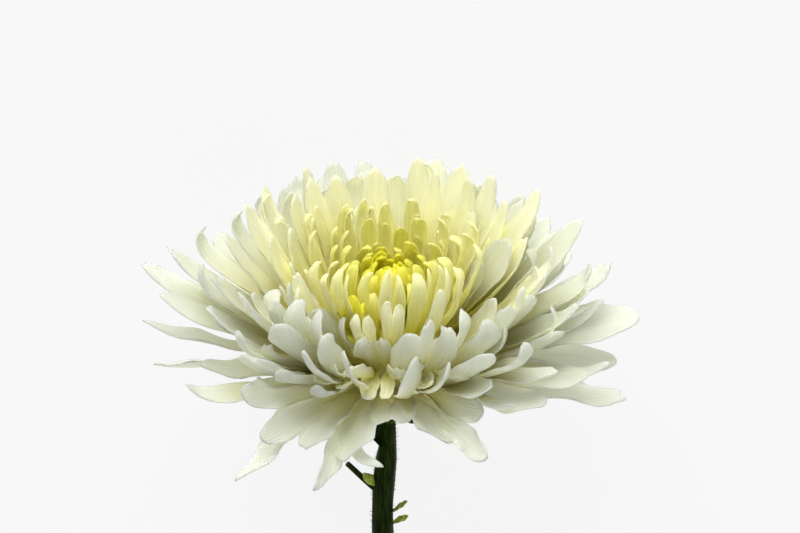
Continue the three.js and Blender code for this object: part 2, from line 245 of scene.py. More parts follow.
@dataclass(frozen=True)
class Blade:
    """One floret, bract or small leaf: where it roots, how it rises and bends, and its shape.

    Attributes:
        azimuth: Direction about the axis, in degrees from +X.
        share: Its place in its rule, from the outermost (0) to the innermost (1).
        root_radius: Distance of the root from the axis.
        root_height: Height of the root over the base of the bloom.
        rise: Degrees over the plane across the axis, halfway along.
        curl: Degrees that the rise gains from root to tip.
        swing: Degrees that the blade turns about the axis from root to tip.
        twist: Degrees that the blade turns about itself from root to tip.
        length: Length along the blade.
        width: Full width.
        fold: Degrees of arc across the blade, at half its length.
        number: Number of the blade, which seeds its small irregularities.
        hook: Degrees that the tip bends in beyond the form of its solid.
        tip: Outline of the tip, unless it is drawn for the piece.
        tint: Share whose colour it takes, unless it is its own.
    """

    azimuth: float
    share: float
    root_radius: float
    root_height: float
    rise: float
    curl: float
    swing: float
    twist: float
    length: float
    width: float
    fold: float
    number: int = 0
    hook: float = 0.0
    tip: Tip | None = None
    tint: float | None = None


@dataclass(frozen=True)
class Station:
    """A point of a blade's spine, with the directions across the blade and out of its face."""

    point: Vector
    side: Vector
    normal: Vector


SPINE_STEPS = 24

# Every tip bends in by HOOD degrees, from HOOD_FROM of the length on, and a blade's own hook adds to that.
HOOD = 14.0
HOOD_FROM = 0.72
HOOK_FROM = 0.8

# The curl grows with a power of the length, and is nothing near the middle, where the blade has its rise.
CURL_POWER = 1.2
CURL_MIDDLE = 0.45


def spine(blade: Blade) -> list[Station]:
    """Works out the spine of a blade.

    Args:
        blade: The blade.

    Returns:
        Its stations, from root to tip.
    """
    azimuth = math.radians(blade.azimuth)
    point = Vector(
        (blade.root_radius * math.cos(azimuth), blade.root_radius * math.sin(azimuth), blade.root_height)
    )
    stations = []
    for k in range(SPINE_STEPS + 1):
        s = k / SPINE_STEPS
        bend = blade.curl * (s**CURL_POWER - CURL_MIDDLE) + HOOD * smoothstep(s, HOOD_FROM, 1)
        bend += blade.hook * smoothstep(s, HOOK_FROM, 1)
        rise = math.radians(blade.rise + bend)
        heading = azimuth + math.radians(blade.swing) * s
        tangent = Vector(
            (math.cos(rise) * math.cos(heading), math.cos(rise) * math.sin(heading), math.sin(rise))
        )
        side = Vector((-math.sin(heading), math.cos(heading), 0))
        side.rotate(Quaternion(tangent, math.radians(blade.twist) * s))
        stations.append(Station(point.copy(), side, tangent.cross(side)))
        point += tangent * (blade.length / SPINE_STEPS)
    return stations


# Powers that shape the outline of a pointed and of a round tip, and the teeth of a toothed one.
POINT_SIDE_POWER = 1.5
POINT_POWER = 0.8
ROUND_POWER = 0.909
TOOTH_DEPTH = 0.035
TEETH = 3


@dataclass(frozen=True)
class BladeForm:
    """What the blades of one piece have in common.

    Attributes:
        across: Faces from edge to edge.
        along: Faces from root to tip.
        thickness: At the middle of the blade.
        claw: Width at the root as a share of the full width.
        broad_from: Share of the length at which the blade reaches its full width.
        tip_from: Share of the length at which the tip starts.
        pinch: Degrees that the fold gains at the tip, which closes it to a hood.
        ruffle: How far the edges wave, in millimetres.
        crinkle: How much further those of the outermost blades do.
        ragged: How far the edges stray from their outline, as a share of the width.
        groove: Depth of the grooves along the blade, in millimetres.
    """

    across: int
    along: int
    thickness: float
    claw: float = 0.4
    broad_from: float = 0.6
    tip_from: float = 0.7
    pinch: float = 30.0
    ruffle: float = 0.3
    crinkle: float = 0.7
    ragged: float = 0.07
    groove: float = 0.12

    def width_share(self, s: float) -> float:
        """Width at s of the length as a share of the full width, without the tip's outline."""
        return self.claw + (1 - self.claw) * smoothstep(s, 0, self.broad_from)

    def reach(self, u: float, tip: Tip, number: int) -> float:
        """Share of the length that the blade reaches at u across it.

        Args:
            u: Place across the blade, from -1 to 1.
            tip: Outline of the tip.
            number: Number of the blade.

        Returns:
            A share of the length, 1 at the middle of a plain tip.
        """
        cosine = math.sqrt(max(0.0, 1 - u * u))
        if tip is Tip.POINTED:
            return self.tip_from + (1 - self.tip_from) * (1 - abs(u) ** POINT_SIDE_POWER) ** POINT_POWER
        reach = self.tip_from + (1 - self.tip_from) * cosine**ROUND_POWER
        if tip is Tip.TOOTHED:
            teeth = 0.5 - 0.5 * math.cos(math.pi * (TEETH * u + 0.4 * jitter(number, Draw.TEETH)))
            reach -= TOOTH_DEPTH * teeth * cosine
        return reach

    def fold_at(self, blade: Blade, s: float) -> float:
        """Degrees of arc across the blade at s of its length."""
        opened = blade.fold * (1.5 - 0.9 * smoothstep(s, 0, 0.9))
        return opened + self.pinch * smoothstep(s, 0.8, 1.0)

    def point(self, blade: Blade, stations: Sequence[Station], s: float, u: float) -> Vector:
        """Gives a point of the blade's middle face.

        Args:
            blade: The blade.
            stations: Its spine.
            s: Share of its length.
            u: Place across it, from -1 to 1.

        Returns:
            The point, in the upright frame.
        """
        k = min(SPINE_STEPS - 1, int(s * SPINE_STEPS))
        part = s * SPINE_STEPS - k
        a, b = stations[k], stations[k + 1]
        half = math.radians(self.fold_at(blade, s)) / 2
        arc_radius = blade.width * self.width_share(s) / (2 * half)
        phase = math.pi * (1 + jitter(blade.number, Draw.WAVE))
        crinkled = self.ruffle + self.crinkle * (1 - smoothstep(blade.share, 0, 0.2))
        wave = crinkled * abs(u) ** 3 * smoothstep(s, 0.2, 0.7)
        wave *= math.sin(math.pi * 5 * s + phase + (1.3 if u > 0 else 0))
        wave -= self.groove * math.cos(2.5 * math.pi * u) * (1 - u * u) * smoothstep(s, 0.05, 0.4)
        stray = math.sin(9 * s + 3 * phase + u) + 0.6 * math.sin(21 * s + 5 * phase - u)
        stray = 1 + self.ragged * stray * smoothstep(s, 0.2, 0.6)
        return (
            a.point.lerp(b.point, part)
            + a.side.lerp(b.side, part).normalized() * (arc_radius * math.sin(half * u) * stray)
            + a.normal.lerp(b.normal, part).normalized() * (arc_radius * (1 - math.cos(half * u)) + wave)
        )


def add_blade(
    bm: bmesh.types.BMesh,
    blade: Blade,
    form: BladeForm,
    tip: Tip = Tip.ROUND,
    limit: Callable[[Vector], Vector] | None = None,
) -> None:
    """Adds a blade to a mesh: a grid that is bent along the spine, with its UV map and its share.

    Args:
        bm: The mesh, with a UV map and a float layer named "share" on its corners and points.
        blade: The blade.
        form: What it has in common with the piece's other blades.
        tip: Outline of its tip.
        limit: Moves a point that would leave the blade's own room.
    """
    stations = spine(blade)
    made = bmesh.ops.create_grid(bm, x_segments=form.across, y_segments=form.along, size=1.0)
    share, body = bm.verts.layers.float["share"], bm.verts.layers.deform.active
    uv = bm.loops.layers.uv.active
    places: dict[bmesh.types.BMVert, tuple[float, float]] = {}
    for v in made["verts"]:
        u = math.sin(v.co.x * math.pi / 2)
        along = 1 - (1 - (v.co.y + 1) / 2) ** 1.25
        s = along * form.reach(u, tip, blade.number)
        places[v] = (u, s)
        v.co = form.point(blade, stations, s, u)
        if limit is not None:
            v.co = limit(v.co)
        v[share] = blade.share if blade.tint is None else blade.tint
        v[body][0] = 1 - 0.75 * abs(u) ** 3
    for f in {f for v in made["verts"] for f in v.link_faces}:
        f.smooth = True
        for corner in f.loops:
            u, s = places[corner.vert]
            corner[uv].uv = (0.5 + 0.5 * u, s)


RECEPTACLE_STEPS = 48


def add_receptacle(bm: bmesh.types.BMesh, profile: Sequence[tuple[float, float]], tint: float) -> None:
    """Adds the solid that the florets grow from, by spinning its outline about the flower's axis.

    Args:
        bm: The mesh, with the layers that add_blade fills.
        profile: Pairs of radius and height, from the axis and back to it.
        tint: Its share, which gives its colour.
    """
    share, body = bm.verts.layers.float["share"], bm.verts.layers.deform.active
    outline = [bm.verts.new((radius, 0, height)) for radius, height in profile]
    edges = [bm.edges.new(pair) for pair in zip(outline, outline[1:])]
    bmesh.ops.spin(
        bm,
        geom=outline + edges,
        axis=(0, 0, 1),
        cent=(0, 0, 0),
        angle=2 * math.pi,
        steps=RECEPTACLE_STEPS,
        use_merge=True,
    )
    faces = {f for edge in edges for v in edge.verts for f in v.link_faces}
    grown = set(faces)
    while grown:
        grown = {g for f in grown for v in f.verts for g in v.link_faces} - faces
        faces |= grown
    points = list({v for f in faces for v in f.verts})
    bmesh.ops.remove_doubles(bm, verts=points, dist=0.01)
    faces = {f for f in faces if f.is_valid}
    bmesh.ops.recalc_face_normals(bm, faces=list(faces))
    for v in {v for f in faces for v in f.verts}:
        v[share] = tint
        v[body][0] = 0.0


def new_blade_mesh() -> bmesh.types.BMesh:
    """Starts a mesh with the layers that add_blade fills."""
    bm = bmesh.new()
    bm.loops.layers.uv.new("blade")
    bm.verts.layers.float.new("share")
    bm.verts.layers.deform.verify()
    return bm


def finish_piece(
    bm: bmesh.types.BMesh, name: str, nodes: Iterable[str], materials: Sequence[bpy.types.Material]
) -> bpy.types.Object:
    """Lays a mesh down on the table and makes it a piece that rides on the flower.

    Args:
        bm: The mesh, upright and in millimetres. It is freed.
        name: Name of the piece.
        nodes: CAD nodes that it stands for.
        materials: Its materials.

    Returns:
        The piece.
    """
    bmesh.ops.transform(bm, matrix=LYING.matrix, verts=bm.verts)
    mesh = bpy.data.meshes.new(name)
    bm.to_mesh(mesh)
    bm.free()
    piece = bpy.data.objects.new(name, mesh)
    bpy.context.scene.collection.objects.link(piece)
    for material in materials:
        mesh.materials.append(material)
    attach(piece, "root")
    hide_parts(*nodes)
    log.info("%s: %d faces", name, len(mesh.polygons))
    return piece


def give_thickness(piece: bpy.types.Object, thickness: float, edge_share: float = 0.35) -> None:
    """Gives blades their thickness, thinner towards their edges.

    Args:
        piece: The piece, whose first vertex group says how thick each point is.
        thickness: At the middle of a blade, in millimetres.
        edge_share: Least thickness, as a share of that.
    """
    piece.vertex_groups.new(name="body")
    solid = piece.modifiers.new("thickness", "SOLIDIFY")
    solid.thickness = thickness * MM
    solid.offset = 0.0
    solid.vertex_group = "body"
    solid.thickness_vertex_group = edge_share


# ---------------------------------------------------------------- finishes


def add_node(
    tree: bpy.types.NodeTree,
    kind: str,
    inputs: dict[str | int, object] | None = None,
    **settings: object,
) -> bpy.types.Node:
    """Adds a node with its settings, values and links.

    Args:
        tree: The node tree.
        kind: The node's type.
        inputs: For an input's name or number, its value or the output that is linked to it.
        **settings: Properties of the node.

    Returns:
        The node.
    """
    node = tree.nodes.new(kind)
    for name, value in settings.items():
        setattr(node, name, value)
    for key, value in (inputs or {}).items():
        if isinstance(value, bpy.types.NodeSocket):
            tree.links.new(value, node.inputs[key])
        else:
            node.inputs[key].default_value = value
    return node


def mixed(
    tree: bpy.types.NodeTree, factor: bpy.types.NodeSocket, low: object, high: object
) -> bpy.types.NodeSocket:
    """Mixes two colours.

    Args:
        tree: The node tree.
        factor: Share of the second colour, 0 to 1.
        low: The first colour, as a hex colour or a socket.
        high: The second colour, as a hex colour or a socket.

    Returns:
        The socket of the mixed colour.
    """
    low, high = (linear(colour) if isinstance(colour, str) else colour for colour in (low, high))
    mix = add_node(tree, "ShaderNodeMix", {"Factor": factor, "A": low, "B": high}, data_type="RGBA")
    return mix.outputs["Result"]


def ranged(
    tree: bpy.types.NodeTree, value: bpy.types.NodeSocket, low: object, high: object, **settings: object
) -> bpy.types.NodeSocket:
    """Maps a value to 0 at low and to 1 at high, and keeps it between them.

    Args:
        tree: The node tree.
        value: Socket of the value.
        low: Value or socket that gives 0.
        high: Value or socket that gives 1.
        **settings: Properties of the node.

    Returns:
        The socket of the mapped value.
    """
    inputs = {"Value": value, "From Min": low, "From Max": high}
    return add_node(tree, "ShaderNodeMapRange", inputs, **settings).outputs["Result"]


def new_material(name: str) -> tuple[bpy.types.Material, bpy.types.NodeTree]:
    """Makes a material with an empty node tree.

    Args:
        name: Name of the finish.

    Returns:
        The material and its tree.
    """
    material = bpy.data.materials.new(name)
    material.use_nodes = True
    material.node_tree.nodes.clear()
    return material, material.node_tree


@dataclass(frozen=True)
class PetalFinish:
    """Living petal: white, thin and full of air, so that light passes through it as through wax paper.

    The claw is tinted by the sap under it, most of all in the young florets of the heart, and veins run along
    the blade as shallow grooves. In the white florets the claw is a dull olive that fades into the greyed
    blade
    only near the tip: this is in part painted shade, which darkens the outer florets and the depth of the
    bloom.

    Attributes:
        name: Name of the material.
        blade: Colour of the blade, greyed in the white florets, in part as painted shade.
        claw: Colour at the root of an outer floret: the sap's tint, and in the white florets also painted
            shade.
        young_claw: Colour at the root of an inner floret.
        young_blade: Colour of the blade of an inner floret.
        young_from: Share at which the young tint starts.
        young_to: Share at which it is full.
        vein_depth: Depth of the veins, in millimetres.
        vein_tint: How much of the claw's colour they have, as a share.
        glow: How much light passes through, as a share.
        glow_reach: How far light travels inside, in millimetres.
    """

    name: str
    blade: str
    claw: str
    young_claw: str
    young_blade: str
    young_from: float = 0.0
    young_to: float = 1.0
    vein_depth: float = 0.06
    vein_tint: float = 0.12
    glow: float = 0.35
    glow_reach: float = 1.5

    def build(self) -> bpy.types.Material:
        """Makes the material."""
        material, tree = new_material(self.name)
        uv = add_node(tree, "ShaderNodeUVMap", uv_map="blade")
        split = add_node(tree, "ShaderNodeSeparateXYZ", {"Vector": uv.outputs["UV"]})
        share = add_node(tree, "ShaderNodeAttribute", attribute_name="share")
        smooth = {"interpolation_type": "SMOOTHSTEP"}
        young = ranged(tree, share.outputs["Fac"], self.young_from, self.young_to, **smooth)
        claw = mixed(tree, young, self.claw, self.young_claw)
        blade = mixed(tree, young, self.blade, self.young_blade)
        # The claw's colour reaches to 0.9 of the length in all but the outermost florets; in the white
        # florets its olive is in part painted shade over most of the blade.
        begins = self._by_share(tree, share, -0.5, 0.1)
        ends = self._by_share(tree, share, 0.65, 0.9)
        along = ranged(tree, split.outputs["Y"], begins, ends, **smooth)
        body = mixed(tree, along, claw, blade)
        veins = self._veins(tree, uv)
        veined = mixed(tree, self._times(tree, veins, self.vein_tint), body, self.claw)
        bump = add_node(
            tree,
            "ShaderNodeBump",
            {"Height": veins, "Distance": self.vein_depth * MM, "Strength": 1.0},
            invert=True,
        )
        petal = add_node(
            tree,
            "ShaderNodeBsdfPrincipled",
            {
                "Base Color": veined,
                "Roughness": 0.55,
                "IOR": 1.4,
                "Subsurface Weight": self.glow,
                "Subsurface Radius": (1.0, 1.0, 0.7),
                "Subsurface Scale": self.glow_reach * MM,
                "Sheen Weight": 0.1,
                "Normal": bump.outputs["Normal"],
            },
            subsurface_method="BURLEY",
        )
        add_node(tree, "ShaderNodeOutputMaterial", {"Surface": petal.outputs["BSDF"]})
        return material

    @staticmethod
    def _by_share(
        tree: bpy.types.NodeTree, share: bpy.types.Node, outermost: float, rest: float
    ) -> bpy.types.NodeSocket:
        """Gives the outermost florets one value and the rest another, and returns the value's socket."""
        ends = {"From Min": 0.0, "From Max": 0.2, "To Min": outermost, "To Max": rest}
        node = add_node(tree, "ShaderNodeMapRange", {"Value": share.outputs["Fac"]} | ends)
        return node.outputs["Result"]

    @staticmethod
    def _times(tree: bpy.types.NodeTree, value: bpy.types.NodeSocket, by: float) -> bpy.types.NodeSocket:
        """Multiplies a value and returns the product's socket."""
        return add_node(tree, "ShaderNodeMath", {0: value, 1: by}, operation="MULTIPLY").outputs[0]

    @staticmethod
    def _veins(tree: bpy.types.NodeTree, uv: bpy.types.Node) -> bpy.types.NodeSocket:
        """Draws about nine veins along the blade, uneven as grown ones, 0 to 1."""
        stretched = add_node(
            tree, "ShaderNodeMapping", {"Vector": uv.outputs["UV"], "Scale": (1.0, 0.22, 1.0)}
        )
        ribs = add_node(
            tree,
            "ShaderNodeTexWave",
            {
                "Vector": stretched.outputs["Vector"],
                "Scale": 2.9,
                "Distortion": 2.2,
                "Detail": 3.0,
                "Detail Scale": 2.0,
                "Detail Roughness": 0.6,
            },
            bands_direction="X",
        )
        return ribs.outputs["Fac"]


@dataclass(frozen=True)
class GreenFinish:
    """Living green skin of a stem, bract or bud: slightly waxy, with darker and paler cells along it.

    Attributes:
        name: Name of the material.
        dark: Colour in the furrows.
        light: Colour on the ribs.
        roughness: Of the wax.
        streak_width: Width of a streak of cells, in millimetres.
        streak_length: Length of a streak, in millimetres.
        margin: Colour of the thin papery margin of a bract, if it has one.
    """

    name: str
    dark: str
    light: str
    roughness: float = 0.45
    streak_width: float = 0.7
    streak_length: float = 6.0
    margin: str = ""

    def build(self) -> bpy.types.Material:
        """Makes the material."""
        material, tree = new_material(self.name)
        place = add_node(tree, "ShaderNodeTexCoord")
        along_stem = add_node(
            tree,
            "ShaderNodeMapping",
            {"Vector": place.outputs["Object"], "Rotation": (-LYING.slope, 0, 0)},
        )
        across, along = 1 / (self.streak_width * MM), 1 / (self.streak_length * MM)
        stretched = add_node(
            tree,
            "ShaderNodeMapping",
            {"Vector": along_stem.outputs["Vector"], "Scale": (across, along, across)},
        )
        cells = add_node(
            tree,
            "ShaderNodeTexNoise",
            {"Vector": stretched.outputs["Vector"], "Scale": 1.0, "Detail": 4.0, "Roughness": 0.6},
        )
        colour = mixed(tree, ranged(tree, cells.outputs["Fac"], 0.35, 0.65), self.dark, self.light)
        if self.margin:
            colour = self.edged(tree, colour)
        bump = add_node(
            tree, "ShaderNodeBump", {"Height": cells.outputs["Fac"], "Distance": 0.08 * MM, "Strength": 1.0}
        )
        skin = add_node(
            tree,
            "ShaderNodeBsdfPrincipled",
            {
                "Base Color": colour,
                "Roughness": self.roughness,
                "IOR": 1.4,
                "Specular IOR Level": 0.08,
                "Subsurface Weight": 0.1,
                "Subsurface Radius": (0.5, 1.0, 0.2),
                "Subsurface Scale": 0.5 * MM,
                "Normal": bump.outputs["Normal"],
            },
        )
        add_node(tree, "ShaderNodeOutputMaterial", {"Surface": skin.outputs["BSDF"]})
        return material

    def edged(self, tree: bpy.types.NodeTree, colour: bpy.types.NodeSocket) -> bpy.types.NodeSocket:
        """Fades the colour to that of the margin along the sides of a bract.

        Args:
            tree: Nodes of the material.
            colour: Socket of the colour within.

        Returns:
            The socket of the colour with its margin.
        """
        uv = add_node(tree, "ShaderNodeUVMap", uv_map="blade")
        across = add_node(tree, "ShaderNodeSeparateXYZ", {"Vector": uv.outputs["UV"]})
        side = add_node(tree, "ShaderNodeMath", {0: across.outputs["X"], 1: 0.5}, operation="SUBTRACT")
        side = add_node(tree, "ShaderNodeMath", {0: side.outputs["Value"]}, operation="ABSOLUTE")
        return mixed(tree, ranged(tree, side.outputs["Value"], 0.28, 0.48), colour, self.margin)


# ---------------------------------------------------------------- white ray florets


RAY_RULE = GrowthRule(
    share=(0, 0.15, 0.35, 0.6, 0.8, 1),
    root_radius=(13.5, 13.2, 12.6, 11.8, 11.2, 10.6),
    root_height=(3, 4, 5.6, 7.4, 8.8, 10.2),
    rise=(-4, 10, 28, 44, 56, 67),
    curl=(4, 14, 21, 26, 27, 26),
    length=(38, 39, 38, 36, 33.5, 30),
    width=(8.6, 8.2, 7.6, 7.2, 6.6, 5.6),
    fold=(60, 75, 95, 110, 120, 130),
)


@dataclass(frozen=True)
class OwnFloret:
    """A floret that stands out of the rule.

    Attributes:
        azimuth: As a blade's.
        share: Its place in the rule, which gives its root and fold.
        rise: As a blade's.
        curl: As a blade's.
        length: As a blade's.
        broadness: Its width as a share of the rule's.
        swing: As a blade's.
        twist: As a blade's.
        tip: Outline of its tip, unless it is drawn as in the rule.
        tint: Share whose colour it takes, unless it is its own.
    """

    azimuth: float
    share: float
    rise: float
    curl: float
    length: float
    broadness: float = 1.0
    swing: float = 0.0
    twist: float = 0.0
    tip: Tip | None = None
    tint: float | None = None


# The florets that stand out, table by table. Most rows weren't set by hand: in 97 of the 114, separate
# fitting scripts solved azimuth, rise and length for a wanted place of the floret's tip, and the lengths
# were rounded by script too. That is a known fault: this script should work them out itself, from the
# places of the tips as named values.

# Florets of the left side, and then of the right.
LEFT_FLORETS = (
    OwnFloret(174, 0.3, 25, 11, 44),
    OwnFloret(168, 0.5, 37, 19, 41, 0.9),
    OwnFloret(177, 0.4, 35, 15, 42, 0.8),
    OwnFloret(-175, 0.65, 52, 22, 37.5, 1.15),
    OwnFloret(168, 0.75, 56, 22, 36.5, 1.2),
    OwnFloret(154, 0.8, 55, 22, 36),
    OwnFloret(170, 0.92, 67, 38, 27.5),
    OwnFloret(137, 0.92, 67, 15, 33),
    OwnFloret(152, 0.88, 66, 15, 32),
    OwnFloret(-176, 0.25, 26, 11, 39),
    OwnFloret(-171, 0.35, 40, 19, 39),
    OwnFloret(-165, 0.5, 43, 22, 36, 1.1),
    OwnFloret(176, 0.08, 11, 9, 40, 0.5),
    OwnFloret(171, 0, -9, 0, 38.5, 0.85, 0, 30, Tip.ROUND),
    OwnFloret(-160, 0.3, 37, 26, 34, 1.2),
    OwnFloret(-151, 0.5, 47, 30, 33.5),
    OwnFloret(-143, 0.6, 52, 34, 33),
)
RIGHT_FLORETS = (
    OwnFloret(18, 0.8, 54, 15, 38, 1.1),
    OwnFloret(11, 0.55, 42, 19, 39.5, 1.35),
    OwnFloret(-8, 0.65, 48, 26, 36.5),
    OwnFloret(-16, 0.65, 48, 30, 33.5),
    OwnFloret(-30, 0.7, 48, 26, 31.5),
    OwnFloret(6, 0.92, 52, 34, 29.5, 1.2),
    OwnFloret(-5, 0.45, 36, 19, 39, 1.2),
    OwnFloret(17, 0.35, 18, 11, 40),
    OwnFloret(-10, 0.45, 34, 22, 36.5),
    OwnFloret(-12, 0.3, 31, 30, 38, 0.6),
    OwnFloret(-19, 0.4, 35, 22, 35, 1.1),
    OwnFloret(10, 0.12, 7, 4, 41, 1.6),
    OwnFloret(7, 0.05, -6, 4, 35.5, 1.3),
    OwnFloret(-18, 0.12, 14, 22, 35.5, 0.6),
    OwnFloret(-25, 0.18, 12, 0, 32, 1.3),
    OwnFloret(-14, 0.02, -2, 0, 37, 1),
    OwnFloret(-42, 0, 16, -5, 29, 1.2),
    OwnFloret(-38, 0.25, 24, 8, 32.5, 0.9),
)

# Florets that droop or lie low towards the front.
DROOPING_FLORETS = (
    OwnFloret(-139, 0.1, 21, 11, 28, 0.75, 0, -45, Tip.ROUND),
    OwnFloret(-132, 0, -10, -13, 33, 0.65, 0, 10, Tip.POINTED),
    OwnFloret(-131, 0.05, 3, -8, 26, 0.8, 0, -30, Tip.ROUND),
    OwnFloret(-119, 0.1, -3, -12, 21.5, 1.1, 0, 12, Tip.TOOTHED),
    OwnFloret(-113, 0, -16, -20, 26, 0.55, 0, -40, Tip.POINTED),
    OwnFloret(-105, 0.03, -8, -10, 19.5, 1.25, -4, 18, Tip.POINTED),
    OwnFloret(-124, 0, -11, 0, 24, 0.45, 108, 0, Tip.POINTED),
    OwnFloret(-96, 0.1, 4, 0, 10.5, 0.7, tip=Tip.POINTED),
    OwnFloret(-63, 0, 4, -15, 28.5, 0.6, 0, 30),
    OwnFloret(-76, 0.05, 4, -15, 20.5, 1.0, 22, -15),
    OwnFloret(-57, 0.12, 18, 8, 22, 0.75, 0, 35),
)

# Florets that rise before the heart.
FRONT_FLORETS = (
    OwnFloret(-122, 0.45, 56, 35, 30.5, 0.9, -4, -20),
    OwnFloret(-138, 0.42, 54, 30, 32.5, 1, 0, 15),
    OwnFloret(-131, 0.35, 48, 30, 32, 1.1, 0, 20),
    OwnFloret(-122, 0.26, 44, 30, 29, 0.9, 4, -15),
    OwnFloret(-114, 0.3, 52, 32, 28, 0.75, -6, 35),
    OwnFloret(-107, 0.24, 49, 30, 26, 0.8, -6, -30),
    OwnFloret(-136, 0.14, 36, 20, 29.5, 0.95, 0, 10),
    OwnFloret(-82, 0.36, 58, 30, 25.5, 0.95, 6, -10),
    OwnFloret(-80, 0.22, 50, 60, 26.5, 0.95, 0, 30),
    OwnFloret(-66, 0.38, 55, 32, 28, 0.8, 0, -30),
    OwnFloret(-57, 0.5, 56, 34, 30.5, 0.8, 4, 15),
    OwnFloret(-49, 0.42, 49, 32, 29.5, 0.95, 0, -15),
    OwnFloret(-69, 0.24, 42, 24, 26, 0.85, 6, 30),
    OwnFloret(-57, 0.28, 41, 26, 30.5, 1, 0, -10),
    OwnFloret(-43, 0.36, 34, 28, 33, 0.95, 0, 0),
    OwnFloret(-144, 0.28, 36, 24, 32.5, 1, -4, 0),
    OwnFloret(-140, 0.2, 32, 20, 30.5, 0.95, 0, 10),
    OwnFloret(-71, 0.44, 60, 36, 28, 0.75, -6, 20),
    OwnFloret(-40, 0.5, 51, 34, 31, 0.85, 0, -15),
    OwnFloret(-130, 0.5, 55, 34, 33, 0.85, 6, 20),
)

# Florets next to the heart, which stand up before it.
CROWN_FLORETS = (
    OwnFloret(-112, 0.9, 62, 20, 19.5, 0.8, 0, -10),
    OwnFloret(-104, 0.95, 65, 20, 18.5, 0.75, 0, 15),
    OwnFloret(-105, 0.8, 56, 10, 15, 1.15, 0, 30, Tip.TOOTHED, 0.45),
    OwnFloret(-96, 0.85, 60, 10, 13, 1.0, 0, -20, Tip.TOOTHED, 0.45),
    OwnFloret(-140, 0.92, 62, 24, 29.5, 0.8, 0, 30),
    OwnFloret(-139, 0.85, 56, 22, 27.5, 0.85, 0, -20),
    OwnFloret(-61, 0.97, 66, 26, 25, 0.85, 4, -10),
    OwnFloret(-84, 0.98, 65, 20, 23, 0.75, 0, 10),
    OwnFloret(-92, 1, 66, 20, 23.5, 0.7, 0, -10),
)

# Short florets low at the front, between the rising and the drooping ones.
SKIRT_FLORETS = (
    OwnFloret(-91, 0.85, 2, -30, 12.5, 0.75, 0, 15),
    OwnFloret(-104, 0.75, 10, -15, 13.5, 0.8, 6, -20),
    OwnFloret(-112, 0.8, 14, -20, 15.5, 0.85, 0, 20),
    OwnFloret(-121, 0.7, 21, -10, 18, 0.9, -6, -10),
    OwnFloret(-80, 0.78, 12, -15, 14, 0.85, 0, -15),
    OwnFloret(-72, 0.8, 18, -20, 16, 0.9, 6, 20),
    OwnFloret(-60, 0.7, 23, -5, 20, 0.95, 0, -15),
    OwnFloret(-129, 0.3, 29, 5, 26, 0.9, 0, 20),
    OwnFloret(-56, 0.35, 26, 10, 26.5, 0.9, 0, 15),
    OwnFloret(-106, 0.6, 37, 10, 17.5, 0.8, -8, 25),
    OwnFloret(-88, 0.65, 37, 10, 15, 0.8, 8, -25),
    OwnFloret(-76, 0.6, 39, 10, 17.5, 0.8, 0, 10),
    OwnFloret(-118, 0.55, 38, 10, 20, 0.85, 0, -20),
)

# Florets that fill gaps between the others and have none of the rule's make room for them.
FILLING_FLORETS = (
    OwnFloret(-134, 0.75, 61, 30, 21, 1.2, 0, 40, tint=0.45),
    OwnFloret(-125, 0.8, 65, 20, 17, 1, 0, -30, tint=0.5),
    OwnFloret(4, 0.92, 67, 20, 21, 1.1, 0, 25, Tip.TOOTHED, 0.6),
    OwnFloret(9, 0.85, 58, 20, 27, 1.4, 0, 20, Tip.TOOTHED, 0.5),
    OwnFloret(5, 0.6, 48, 30, 31, 0.9, 0, -20),
    OwnFloret(-5, 0.55, 47, 30, 30, 0.8, 0, 20),
    OwnFloret(-30, 0.7, 54, 26, 23.5, 1, 0, 30, tint=0.5),
    OwnFloret(-26, 0.5, 48, 28, 30, 0.9, 0, -25),
    OwnFloret(-154, 0.75, 59, 26, 24.5, 1, 0, -25, tint=0.5),
    OwnFloret(-21, 0.4, 36, 26, 32.5, 1, 0, 20),
    OwnFloret(-25, 0.32, 32, 24, 30.5, 0.95, 0, -20),
    OwnFloret(-38, 0.45, 44, 28, 26.5, 0.9, 0, 25),
    OwnFloret(-82, 0.06, 15, -8, 14, 0.74, 0, 15),
)

# Florets of the heart that stand out at its front, the last three of them young and low.
CLAWS = (
    OwnFloret(-136, 0.12, 62, 50, 25, 1.1, 0, -20),
    OwnFloret(-129, 0.2, 69, 50, 24.5, 0.9, 0, 15),
    OwnFloret(-123, 0.3, 67, 50, 22.5, 0.8, 0, -30),
    OwnFloret(-114, 0.4, 81, 65, 20, 0.7, -20, 35),
    OwnFloret(-91, 0.15, 74, 45, 24, 0.95, -6, 25),
    OwnFloret(-83, 0.3, 73, 45, 22, 0.8, 0, -20),
    OwnFloret(-71, 0.2, 69, 45, 24.5, 0.95, 4, -15),
    OwnFloret(-56, 0.35, 72, 50, 22, 0.8, 0, 20),
    OwnFloret(-50, 0.25, 70, 50, 24, 0.8, 0, -30),
    OwnFloret(-50, 0.1, 66, 45, 25.5, 0.95, 0, 15),
    OwnFloret(-119, 0.02, 65, 30, 18, 1.1, 0, 0, Tip.ROUND, 0.74),
    OwnFloret(-126, 0.04, 67, 50, 16.5, 0.9, 8, 40, Tip.ROUND, 0.7),
    OwnFloret(-112, 0.04, 67, 50, 16, 0.9, -8, -40, Tip.ROUND, 0.7),
)

GOLDEN_ANGLE = 137.508

# Number of the first floret of each group that has numbers of its own. They seed its small differences.
FIRST_RAY_BETWEEN = 500
FIRST_FILLING = 600
FIRST_HEART_BETWEEN = 700


